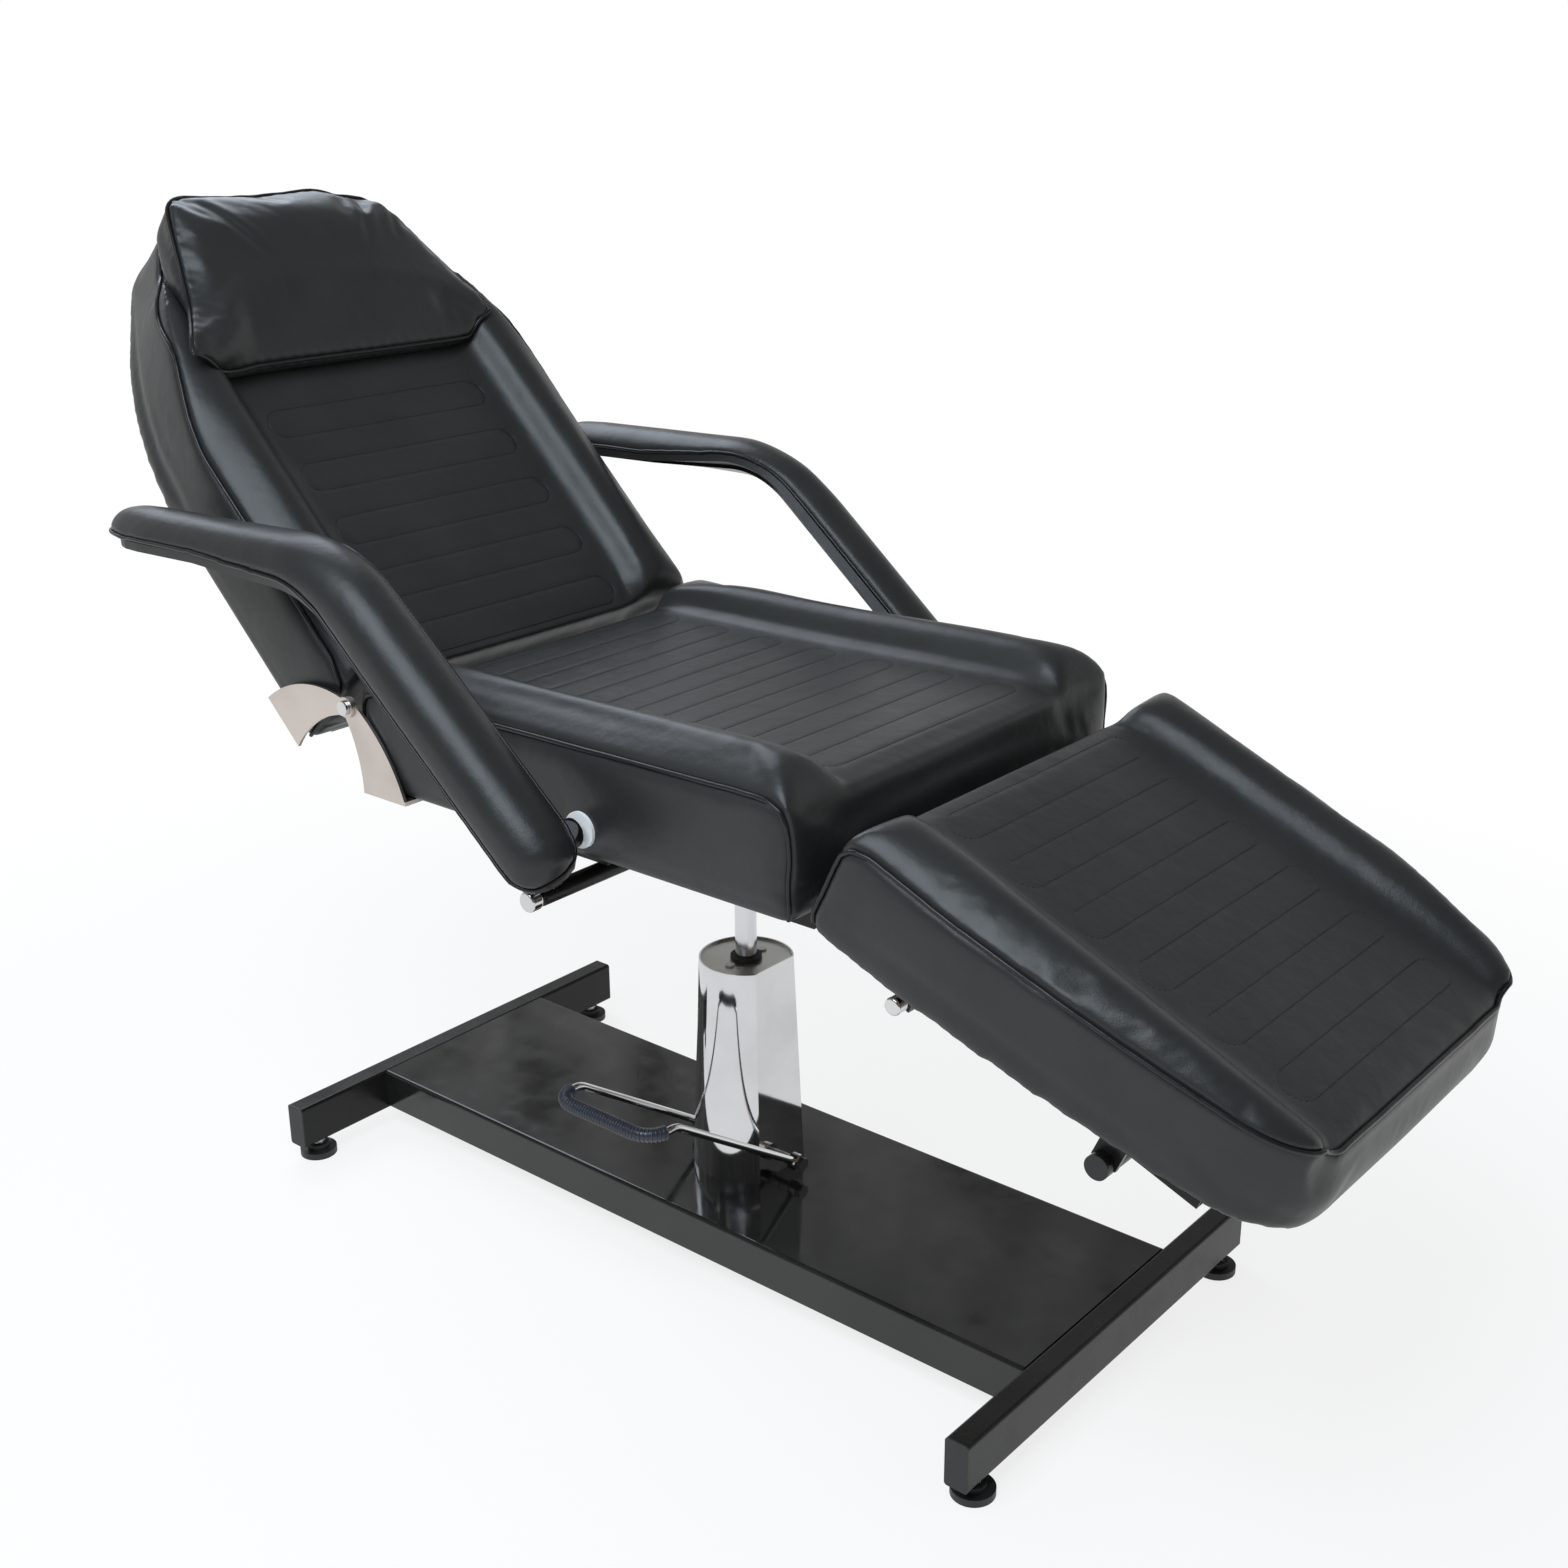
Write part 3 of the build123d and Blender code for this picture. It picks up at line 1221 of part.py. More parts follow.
def leg_tube_brackets():
    """Plates that hang the cross tube from the legrest frame."""
    x, z = cross_tube_place()
    half = TUBE_BRACKET_WIDTH / 2
    start = TUBE_BRACKET_Y
    end = TUBE_BRACKET_Y + TUBE_BRACKET_THICKNESS
    plate = span_box(CROSS_TUBE_T - half, CROSS_TUBE_T + half, start, end, -CROSS_TUBE_DROP, 0)
    above = leg_taper() * span_box(0, LEG_END, 0, 2 * LEG_HALF, -RAIL, LEG_THICKNESS)
    plate = leg_plane() * (plate - above)
    plate -= y_bar(CROSS_TUBE_RADIUS, x, z, start - CUT_OVERRUN, end + CUT_OVERRUN)
    return both_sides(plate)


# Release rods

def seat_release_guide():
    """Guide tube under the seat for the backrest's release rod."""
    guide = y_bar(GUIDE_RADIUS, SEAT_RELEASE_X, GUIDE_Z, -GUIDE_END, -GUIDE_START)
    hole = RELEASE_ROD_RADIUS + RUN_FIT
    return guide - y_bar(hole, SEAT_RELEASE_X, GUIDE_Z, -GUIDE_END - CUT_OVERRUN, -GUIDE_START + CUT_OVERRUN)


def release_rod(x, z, start, end, radius):
    """Rod along Y with a small cam at its inner end; start and end are distances from the middle."""
    rod = y_bar(radius, x, z, -end, -start + CAM_WIDTH)
    cam = y_bar(CAM_RADIUS, x, z, -start + PART_GAP, -start + CAM_WIDTH)
    toe = span_box(x, x + CAM_REACH, -start + PART_GAP, -start + CAM_WIDTH, z - radius, z + radius)
    return rod + cam + toe


def seat_release_rod():
    """Rod that frees the backrest."""
    end = GUIDE_END + RELEASE_NECK
    return release_rod(SEAT_RELEASE_X, GUIDE_Z, GUIDE_START, end, RELEASE_ROD_RADIUS)


def release_knob(x, z, end, radius):
    """Rounded knob on a release rod."""
    knob = y_bar(radius, x, z, -end - RELEASE_KNOB_LENGTH, -end)
    return fillet(knob.edges().filter_by(GeomType.CIRCLE), RELEASE_NECK / 2)


def seat_release_knob():
    """Knob beside the seat."""
    return release_knob(SEAT_RELEASE_X, GUIDE_Z, GUIDE_END + RELEASE_NECK, RELEASE_KNOB_RADIUS)


def leg_release_place():
    """X and Z of the legrest's release rod."""
    return leg_point(LEG_RELEASE_T, -LEG_RELEASE_DROP)


def leg_release_guide():
    """Block under the legrest rail that carries its release rod."""
    x, z = leg_release_place()
    half = LEG_GUIDE_WIDTH / 2
    low = -LEG_RELEASE_DROP - half
    block = span_box(LEG_RELEASE_T - half, LEG_RELEASE_T + half, -LEG_RAIL_Y, -LEG_GUIDE_START, low, 0)
    above = leg_taper() * span_box(0, LEG_END, -2 * LEG_HALF, 0, -RAIL, LEG_THICKNESS)
    block = leg_plane() * (block - above)
    hole = RELEASE_ROD_RADIUS + RUN_FIT
    return block - y_bar(hole, x, z, -2 * LEG_RAIL_Y, 0)


def leg_release_rod():
    """Rod that frees the legrest."""
    x, z = leg_release_place()
    return release_rod(x, z, LEG_GUIDE_START, LEG_RAIL_Y + RELEASE_NECK, RELEASE_ROD_RADIUS)


def leg_release_knob():
    """Knob under the legrest."""
    x, z = leg_release_place()
    return release_knob(x, z, LEG_RAIL_Y + RELEASE_NECK, LEG_KNOB_RADIUS)


# Armrests

def arm_point(along):
    """X, Z and slope in degrees of the arm's centre line, counted from the pivot."""
    turn = radians(ARM_LEG_ANGLE - ARM_TOP_ANGLE)
    cut = ARM_BEND_RADIUS * tan(turn / 2)
    bend = ARM_BEND_RADIUS * turn
    first = ARM_BEND_CORNER - cut
    leg = radians(ARM_LEG_ANGLE)
    top = radians(ARM_TOP_ANGLE)
    if along <= first:
        return (ARM_PIVOT_X - along * cos(leg), ARM_PIVOT_Z + along * sin(leg), ARM_LEG_ANGLE)
    x = ARM_PIVOT_X - first * cos(leg)
    z = ARM_PIVOT_Z + first * sin(leg)
    swept = min(along - first, bend) / ARM_BEND_RADIUS
    slope = leg - swept
    x -= ARM_BEND_RADIUS * (sin(leg) - sin(slope))
    z += ARM_BEND_RADIUS * (cos(slope) - cos(leg))
    rest = max(along - first - bend, 0)
    return (x - rest * cos(top), z + rest * sin(top), degrees(slope))


def arm_tilt(along):
    """Outward tilt of the arm section, in degrees."""
    turn = radians(ARM_LEG_ANGLE - ARM_TOP_ANGLE)
    start = ARM_BEND_CORNER - ARM_BEND_RADIUS * tan(turn / 2)
    end = start + ARM_BEND_RADIUS * turn + ARM_TILT_FADE
    share = min(max((along - start) / (end - start), 0), 1)
    return ARM_LEG_TILT + (ARM_TOP_TILT - ARM_LEG_TILT) * share


def arm_plane(along):
    """Plane of the arm's section: x outward, y out of the pad, for the +Y arm."""
    x, z, slope = arm_point(along)
    tilt = radians(arm_tilt(along))
    angle = radians(slope)
    up = Vector(sin(angle), 0, cos(angle))
    out = Vector(0, 1, 0)
    across = out * cos(tilt) - up * sin(tilt)
    normal = up * cos(tilt) + out * sin(tilt)
    return Plane((x, ARM_CENTRE_Y, z), x_dir=across, z_dir=across.cross(normal))


def arm_stations():
    """Places along the arm and its half width there, from the lower end to the tip."""
    turn = radians(ARM_LEG_ANGLE - ARM_TOP_ANGLE)
    cut = ARM_BEND_RADIUS * tan(turn / 2)
    first = ARM_BEND_CORNER - cut
    bend = ARM_BEND_RADIUS * turn
    full = ARM_HALF_WIDTH
    stations = round_end(-ARM_END_REACH, 0, full)
    steps = ARM_BEND_STEPS
    stations += [(first + bend * i / steps, full) for i in range(steps + 1)]
    fade = first + bend + ARM_TILT_FADE
    stations += [(first + bend + ARM_TILT_FADE / 2, full), (fade, full)]
    tip = round_end(0, ARM_TIP_LENGTH, full)
    stations += [(ARM_TOP_REACH - along, half) for along, half in reversed(tip)]
    return stations


def round_end(start, end, full):
    """Half widths that round off an end, from its tip inwards."""
    places = []
    for share in ARM_ROUND_SHARES:
        reach = 1 - share
        width = (1 - reach ** ARM_ROUND_POWER) ** 0.5 if reach < 1 else 0
        places.append((start + (end - start) * share, ARM_TIP_HALF + (full - ARM_TIP_HALF) * width))
    return places


def arm_loft(section):
    """Solid through the arm's sections; section draws one from its half width."""
    faces = [arm_plane(along) * section(half) for along, half in arm_stations()]
    return loft(faces, ruled=True)


def pad_section(half):
    """Domed pad above the board."""
    share = half / ARM_HALF_WIDTH
    crown = ARM_PAD_EDGE + (ARM_PAD_CROWN - ARM_PAD_EDGE) * share
    with BuildSketch() as sketch:
        with BuildLine():
            Line((-half, 0), (half, 0))
            Line((half, 0), (half, ARM_PAD_EDGE))
            ThreePointArc((half, ARM_PAD_EDGE), (0, crown), (-half, ARM_PAD_EDGE))
            Line((-half, ARM_PAD_EDGE), (-half, 0))
        make_face()
    return sketch.sketch


def board_section(half):
    """Thin board under the pad."""
    return Pos(0, -ARM_BOARD / 2) * Rectangle(2 * half, ARM_BOARD)


def strip_section(half):
    """Steel strip under the board."""
    width = ARM_STRIP_HALF * half / ARM_HALF_WIDTH
    return Pos(0, -ARM_BOARD - ARM_STRIP / 2) * Rectangle(2 * width, ARM_STRIP)


def arm_pad():
    """Padded top of the +Y armrest."""
    return arm_loft(pad_section)


def arm_board():
    """Board under the pad of the +Y armrest."""
    return arm_loft(board_section)


def arm_frame():
    """Steel strip and pivot boss of the +Y armrest."""
    boss = y_bar(BOSS_RADIUS, ARM_PIVOT_X, ARM_PIVOT_Z, BOSS_START, ARM_CENTRE_Y)
    boss -= y_bar(ARM_STUD_RADIUS + RUN_FIT, ARM_PIVOT_X, ARM_PIVOT_Z, BOSS_START - CUT_OVERRUN, ARM_BORE_END)
    side = 4 * ARM_HALF_WIDTH
    under = ARM_BOARD + ARM_STRIP
    above = Pos(0, side / 2 - under) * Rectangle(side, side)
    boss -= extrude(arm_plane(0) * above, side, both=True)
    return [boss, arm_loft(strip_section)]


def arm_mounts():
    """Upright plates inside the seat that carry the arm studs."""
    half = ARM_MOUNT_WIDTH / 2
    outer = ARM_MOUNT_Y + ARM_MOUNT_THICKNESS
    x0 = ARM_PIVOT_X - half
    x1 = ARM_PIVOT_X + half
    low = SEAT_BOTTOM - ARM_MOUNT_THICKNESS
    plate = span_box(x0, x1, ARM_MOUNT_Y, outer, low, ARM_MOUNT_TOP)
    plate += span_box(x0, x1, SEAT_RAIL_Y, ARM_MOUNT_Y, low, SEAT_BOTTOM)
    plate -= y_bar(ARM_STUD_RADIUS, ARM_PIVOT_X, ARM_PIVOT_Z, 0, 2 * outer)
    return both_sides(plate)


def arm_studs():
    """Studs with inner heads that the armrests turn on."""
    start = ARM_MOUNT_Y - ARM_NUT_HEIGHT
    stud = y_bar(ARM_STUD_RADIUS, ARM_PIVOT_X, ARM_PIVOT_Z, start, ARM_STUD_END)
    head = Pos(ARM_PIVOT_X, ARM_MOUNT_Y, ARM_PIVOT_Z) * Rot(90, 0, 0) * hexagon(ARM_NUT_FLAT, ARM_NUT_HEIGHT)
    return both_sides(stud + head)


def arm_washers():
    """White washers between the seat's sides and the armrests."""
    ring = y_bar(WASHER_RADIUS, ARM_PIVOT_X, ARM_PIVOT_Z, SEAT_HALF, WASHER_FACE)
    ring -= y_bar(ARM_STUD_RADIUS, ARM_PIVOT_X, ARM_PIVOT_Z, SEAT_HALF - CUT_OVERRUN, WASHER_FACE + CUT_OVERRUN)
    return both_sides(ring - seat_cushion_blank())


def flipped(shape):
    """Mirror image of one shape or of a list of them."""
    if isinstance(shape, list):
        return [mirror(piece, Plane.XZ) for piece in shape]
    return mirror(shape, Plane.XZ)


# The whole part

def all_parts():
    """Every named part in its place, before centring."""
    pad = arm_pad()
    board = arm_board()
    frame = arm_frame()
    return {
        "front_crossbar": crossbar(1),
        "rear_crossbar": crossbar(-1),
        "crossbar_end_caps": crossbar_caps(),
        "deck_plate": deck_plate(),
        "foot_pads": foot_pads(),
        "foot_studs": foot_studs(),
        "foot_nuts": foot_nuts(),
        "pump_flange": pump_flange(),
        "flange_bolts": flange_bolts(),
        "pump_cylinder": pump_cylinder(),
        "pump_housing": pump_housing(),
        "housing_lid": housing_lid(),
        "lid_screws": lid_screws(),
        "rod_seal": rod_seal(),
        "piston_rod": piston_rod(),
        "pedal_shaft": pedal_shaft(),
        "pedal_rod": pedal_rod(),
        "pedal_grip": pedal_grip(),
        "pedal_nuts": pedal_nuts(),
        "swivel_head": swivel_head(),
        "head_bolts": head_bolts(),
        "seat_frame": seat_frame(),
        "seat_board": seat_board(),
        "seat_cushion": seat_cushion(),
        "seat_hinge_plates": seat_hinge_plates(),
        "back_pivot_bolts": back_pivot_bolts(),
        "arm_mounts": arm_mounts(),
        "arm_studs": arm_studs(),
        "arm_washers": arm_washers(),
        "seat_release_guide": seat_release_guide(),
        "seat_release_rod": seat_release_rod(),
        "seat_release_knob": seat_release_knob(),
        "leg_hinge_ears": leg_hinge_ears(),
        "leg_hinge_pins": leg_hinge_pins(),
        "back_frame": back_frame(),
        "back_board": back_board(),
        "back_cushion": back_cushion(),
        "back_hinge_plates": back_hinge_plates(),
        "head_pillow": head_pillow(),
        "leg_frame": leg_frame(),
        "leg_knuckles": leg_knuckles(),
        "leg_board": leg_board(),
        "leg_cushion": leg_cushion(),
        "leg_cross_tube": leg_cross_tube(),
        "leg_tube_caps": leg_tube_caps(),
        "leg_tube_brackets": leg_tube_brackets(),
        "leg_release_guide": leg_release_guide(),
        "leg_release_rod": leg_release_rod(),
        "leg_release_knob": leg_release_knob(),
        "left_arm_pad": pad,
        "left_arm_board": board,
        "left_arm_frame": frame,
        "right_arm_pad": flipped(pad),
        "right_arm_board": flipped(board),
        "right_arm_frame": flipped(frame),
    }


def as_compound(shape):
    """One compound from a shape or a list of shapes, without nesting."""
    shapes = shape if isinstance(shape, list) else [shape]
    solids = [solid for piece in shapes for solid in piece.solids()]
    return Compound(children=solids) if len(solids) > 1 else solids[0]


def centre_offset(parts):
    """How far the whole part's box is from X zero."""
    boxes = [part.bounding_box() for part in parts.values()]
    return (min(box.min.X for box in boxes) + max(box.max.X for box in boxes)) / 2


def main():
    """Builds every part, centres the whole and writes one file for each."""
    os.makedirs("parts", exist_ok=True)
    parts = {name: as_compound(shape) for name, shape in all_parts().items()}
    shift = centre_offset(parts)
    print("centre offset", shift)
    for name, part in parts.items():
        export_step(Pos(-shift, 0, 0) * part, f"parts/{name}.step")


if __name__ == "__main__":
    main()
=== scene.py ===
import logging
import math
from dataclasses import dataclass, field
from enum import Enum
from typing import Any, Callable, Optional, Sequence

import bmesh
import bpy
import numpy as np
from mathutils import Matrix, Vector
from mathutils.bvhtree import BVHTree
from mathutils.kdtree import KDTree


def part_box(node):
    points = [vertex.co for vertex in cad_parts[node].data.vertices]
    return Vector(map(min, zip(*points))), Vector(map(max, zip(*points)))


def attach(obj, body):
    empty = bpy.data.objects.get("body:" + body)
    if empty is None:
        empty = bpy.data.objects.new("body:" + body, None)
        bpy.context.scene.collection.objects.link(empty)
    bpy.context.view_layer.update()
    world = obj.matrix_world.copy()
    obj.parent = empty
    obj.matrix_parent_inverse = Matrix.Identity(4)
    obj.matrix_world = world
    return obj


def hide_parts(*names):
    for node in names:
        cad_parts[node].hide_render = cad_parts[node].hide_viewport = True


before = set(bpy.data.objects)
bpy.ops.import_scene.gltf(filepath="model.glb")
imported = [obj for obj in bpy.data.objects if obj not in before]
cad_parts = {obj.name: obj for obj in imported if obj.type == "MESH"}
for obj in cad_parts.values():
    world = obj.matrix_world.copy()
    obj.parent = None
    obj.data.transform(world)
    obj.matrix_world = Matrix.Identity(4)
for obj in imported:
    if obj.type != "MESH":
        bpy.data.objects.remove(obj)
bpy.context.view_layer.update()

LOG = logging.getLogger("chair")
HALF_BASE = 0.555
SHIFT = sum(corner.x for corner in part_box("front_crossbar")) / 2 - HALF_BASE


# Node expressions

def operation(kind: str, swapped: bool = False) -> Callable:
    """Makes an operator of Signal that adds one Math node.

    Args:
        kind: The Math node's operation.
        swapped: Whether the other value comes before the signal.

    Returns:
        The method for Signal.
    """
    def method(self: "Signal", *others: Any) -> "Signal":
        """Combines the signal with the others."""
        return self.desk.math(kind, *((*others, self) if swapped else (self, *others)))

    return method


class Signal:
    """A value in a node tree that ordinary arithmetic can combine."""

    def __init__(self, desk: "NodeDesk", socket: bpy.types.NodeSocket) -> None:
        """Keeps the tree's desk and the socket that carries the value."""
        self.desk = desk
        self.socket = socket

    __add__ = operation("ADD")
    __radd__ = operation("ADD", swapped=True)
    __sub__ = operation("SUBTRACT")
    __rsub__ = operation("SUBTRACT", swapped=True)
    __mul__ = operation("MULTIPLY")
    __rmul__ = operation("MULTIPLY", swapped=True)
    __truediv__ = operation("DIVIDE")
    __abs__ = operation("ABSOLUTE")
    root = operation("SQRT")
    rounded = operation("ROUND")
    at_least = operation("MAXIMUM")
    at_most = operation("MINIMUM")

    def rise(
        self, low: float, high: float, start: float = 0.0, end: float = 1.0, kind: str = "SMOOTHSTEP",
    ) -> "Signal":
        """Step from start, at low and under it, to end, at high and over it."""
        inputs = {"Value": self, "From Min": low, "From Max": high, "To Min": start, "To Max": end}
        socket = self.desk.out("ShaderNodeMapRange", {"interpolation_type": kind}, inputs)
        return Signal(self.desk, socket)


class NodeDesk:
    """Lays and links the nodes of one tree."""

    def __init__(self, tree: bpy.types.NodeTree) -> None:
        """Starts with an empty tree."""
        self.tree = tree
        tree.nodes.clear()

    def make(
        self, kind: str, settings: Optional[dict] = None, inputs: Optional[dict] = None,
    ) -> bpy.types.Node:
        """Adds any node.

        Args:
            kind: The node's type.
            settings: Properties that are set before the sockets.
            inputs: Values or links for its sockets, by name or number.

        Returns:
            The new node.
        """
        node = self.tree.nodes.new(kind)
        for key, value in (settings or {}).items():
            setattr(node, key, value)
        for key, value in (inputs or {}).items():
            self.feed(node.inputs[key], value)
        return node

    def out(self, *node: Any) -> bpy.types.NodeSocket:
        """Adds any node and hands out its first output."""
        return self.make(*node).outputs[0]

    def feed(self, socket: bpy.types.NodeSocket, value: Any) -> None:
        """Links or sets one socket; a colour needs no alpha."""
        if isinstance(value, Signal):
            value = value.socket
        if isinstance(value, bpy.types.NodeSocket):
            self.tree.links.new(value, socket)
        elif socket.type == "RGBA":
            socket.default_value = (*value, 1.0)
        else:
            socket.default_value = value

    def math(self, operation: str, *values: Any) -> Signal:
        """Adds a Math node on up to three values."""
        socket = self.out("ShaderNodeMath", {"operation": operation}, dict(enumerate(values)))
        return Signal(self, socket)


class Paint(NodeDesk):
    """One material while its nodes are being laid."""

    def __init__(self, name: str) -> None:
        """Starts an empty node material of this name."""
        self.material = bpy.data.materials.new(name)
        self.material.use_nodes = True
        super().__init__(self.material.node_tree)

    def place(self) -> bpy.types.NodeSocket:
        """Object coordinates, in metres."""
        return self.make("ShaderNodeTexCoord").outputs["Object"]

    def stretched(self, scale: Sequence[float]) -> bpy.types.NodeSocket:
        """Object coordinates scaled along each axis."""
        return self.out("ShaderNodeMapping", None, {"Vector": self.place(), "Scale": scale})

    def axes(self) -> tuple:
        """Object X, Y and Z as signals."""
        split = self.make("ShaderNodeSeparateXYZ", None, {0: self.place()})
        return tuple(Signal(self, split.outputs[i]) for i in range(3))

    def noise(self, scale: float, detail: float = 3.0, vector: Any = None) -> Signal:
        """Soft noise between 0 and 1."""
        inputs = {"Vector": vector or self.place(), "Scale": scale, "Detail": detail}
        return Signal(self, self.out("ShaderNodeTexNoise", None, inputs))

    def cells(self, scale: float) -> Signal:
        """Distance to the nearest grain centre."""
        inputs = {"Vector": self.place(), "Scale": scale}
        return Signal(self, self.make("ShaderNodeTexVoronoi", None, inputs).outputs["Distance"])

    def blend(self, share: Any, first: Any, second: Any) -> bpy.types.NodeSocket:
        """Mixes two colours, each of them numbers or a link."""
        inputs = {0: share, 6: first, 7: second}
        return self.make("ShaderNodeMix", {"data_type": "RGBA"}, inputs).outputs[2]

    def bump(self, height: Signal, distance: float, under: Any = None) -> bpy.types.NodeSocket:
        """Turns a height between 0 and 1 into a normal, distance metres deep."""
        inputs = {"Height": height, "Distance": distance, "Strength": 1.0}
        if under is not None:
            inputs["Normal"] = under
        return self.out("ShaderNodeBump", None, inputs)

    def surface(self, **sockets: Any) -> bpy.types.Material:
        """Finishes the material with one Principled shader.

        Args:
            sockets: Socket names, with underscores for spaces, and their values.

        Returns:
            The finished material.
        """
        named = {key.replace("_", " "): value for key, value in sockets.items()}
        shader = self.out("ShaderNodeBsdfPrincipled", None, named)
        self.make("ShaderNodeOutputMaterial", None, {"Surface": shader})
        return self.material


# Places on the chair

@dataclass(frozen=True)
class CushionPlane:
    """A cushion's own directions: along it, across it and out of its face."""

    origin: tuple
    along: tuple
    out: tuple

    def local(self, points: np.ndarray) -> np.ndarray:
        """Turns row-frame points into along, across and out."""
        rest = points - np.array(self.origin)
        return np.stack([rest @ np.array(self.along), rest[:, 1], rest @ np.array(self.out)], axis=1)

    def world(self, points: np.ndarray) -> np.ndarray:
        """Turns along, across and out into row-frame points."""
        points = np.asarray(points, float)
        across = np.array((0.0, 1.0, 0.0))
        flat = points[:, :1] * np.array(self.along) + points[:, 1:2] * across
        return np.array(self.origin) + flat + points[:, 2:3] * np.array(self.out)

    def signals(self, paint: Paint) -> tuple:
        """Along, across and out as shader signals."""
        x, y, z = paint.axes()
        dx, dz = x - self.origin[0], z - self.origin[2]
        return dx * self.along[0] + dz * self.along[2], y, dx * self.out[0] + dz * self.out[2]


def tilted_plane(x: float, z: float, along_deg: float, out_deg: float, sink: float) -> CushionPlane:
    """Plane through a point of the chair.

    Args:
        x: Place from the middle of the base.
        z: Height.
        along_deg: Direction along the cushion, up from +X.
        out_deg: Direction out of its face, up from +X.
        sink: How far the origin lies below the point, against the face.

    Returns:
        The plane in the row frame.
    """
    along = (math.cos(math.radians(along_deg)), 0.0, math.sin(math.radians(along_deg)))
    out = (math.cos(math.radians(out_deg)), 0.0, math.sin(math.radians(out_deg)))
    origin = (x + SHIFT - sink * out[0], 0.0, z - sink * out[2])
    return CushionPlane(origin, along, out)


SEAT_PLANE = tilted_plane(0.0, 0.609, 0.0, 90.0, 0.0)
BACK_PLANE = tilted_plane(-0.350, 0.729, 135.0, 45.0, 0.122)
LEG_PLANE = tilted_plane(0.350, 0.749, -23.5, 66.5, 0.0)


@dataclass(frozen=True)
class SewnLoops:
    """Racetrack seams sewn across a cushion's field."""

    plane: CushionPlane
    first: float
    pitch: float
    count: int
    half_span: float
    level: float
    shown_ends: float = 1.0
    line: tuple = (0.0003, 0.0012)
    end_fade: float = 0.006
    face: tuple = (0.03, 0.02)

    @property
    def half_width(self) -> float:
        """Half the width of one loop."""
        return self.pitch / 4

    @property
    def straight(self) -> float:
        """Half the straight length of one loop."""
        return self.half_span - self.half_width

    def distance(self, local: np.ndarray) -> np.ndarray:
        """Distance of local points from the nearest seam."""
        index = np.clip(np.round((local[:, 0] - self.first) / self.pitch), 0, self.count - 1)
        du = local[:, 0] - self.first - index * self.pitch
        dy = np.maximum(np.abs(local[:, 1]) - self.straight, 0)
        return np.abs(np.hypot(du, dy) - self.half_width)

    def seam_signal(self, paint: Paint) -> Signal:
        """1 on a seam line and 0 beside it, on the upper face only."""
        u, y, v = self.plane.signals(paint)
        index = ((u - self.first) / self.pitch).rounded().at_least(0.0).at_most(self.count - 1.0)
        du = u - self.first - index * self.pitch
        past = abs(y) - self.straight
        dy = past.at_least(0.0)
        away = abs((du * du + dy * dy).root() - self.half_width)
        ends = 1 - past.rise(0.0, self.end_fade) * (1 - self.shown_ends)
        face = v.rise(self.level - self.face[0], self.level - self.face[1])
        return (1 - away.rise(*self.line)) * ends * face

    def outlines(self, step: float) -> list:
        """Closed rings of points along and across, one for each loop."""
        rings = []
        for i in range(self.count):
            centre = self.first + i * self.pitch
            ring = []
            lines = max(int(2 * self.straight / step), 2)
            bends = max(int(math.pi * self.half_width / step), 4)
            for side in (1, -1):
                for k in range(lines):
                    across = self.straight * (2 * k / lines - 1)
                    ring.append((centre + side * self.half_width, side * across))
                for k in range(bends):
                    turn = math.pi * k / bends
                    du, dy = math.cos(turn) * self.half_width, math.sin(turn) * self.half_width
                    ring.append((centre + side * du, side * (self.straight + dy)))
            rings.append(np.array(ring))
        return rings


SEAT_LOOPS = SewnLoops(SEAT_PLANE, -0.269, 0.090, 7, 0.182, 0.118, 0.35)
BACK_LOOPS = SewnLoops(BACK_PLANE, 0.039, 0.0865, 5, 0.182, 0.114)
LEG_LOOPS = SewnLoops(LEG_PLANE, 0.107, 0.083, 6, 0.176, -0.008, 0.15)


# Finishes

@dataclass(frozen=True)
class VinylFinish:
    """Soft black upholstery vinyl with a fine pressed grain."""

    name: str
    colour: tuple = (0.0205, 0.0210, 0.0205)
    roughness: float = 0.37
    loops: Optional[SewnLoops] = None
    specular: float = 0.38
    grain_depth: float = 0.00012
    wave_depth: float = 0.0012
    seam_depth: float = 0.0005
    # How strongly, and towards which colour, the seam lines are darkened: painted shade standing in for
    # the shade in the sewn grooves.
    seam_shade: float = 0.5
    seam_shade_colour: tuple = (0.004, 0.004, 0.004)

    def build(self) -> bpy.types.Material:
        """Lays the grain, the faint wear, and the sewn lines with painted shade in their grooves."""
        paint = Paint(self.name)
        lighter = tuple(c * 1.25 for c in self.colour)
        tone = paint.blend(paint.noise(7.0, 4.0).rise(0.35, 0.75), self.colour, lighter)
        grain = paint.cells(620.0) * 0.6 + paint.noise(1500.0, 2.0) * 0.4
        normal = paint.bump(grain, self.grain_depth)
        normal = paint.bump(paint.noise(26.0, 3.0), self.wave_depth, normal)
        if self.loops is not None:
            seam = self.loops.seam_signal(paint)
            normal = paint.bump(1 - seam, self.seam_depth, normal)
            # Painted shade: darkens the vinyl along the sewn seam lines, as if shade lay in their
            # grooves.
            tone = paint.blend(seam * self.seam_shade, tone, self.seam_shade_colour)
        rough = paint.noise(15.0, 4.0) * 0.12 + (self.roughness - 0.06)
        return paint.surface(
            Base_Color=tone, Roughness=rough, Normal=normal, Specular_IOR_Level=self.specular,
        )


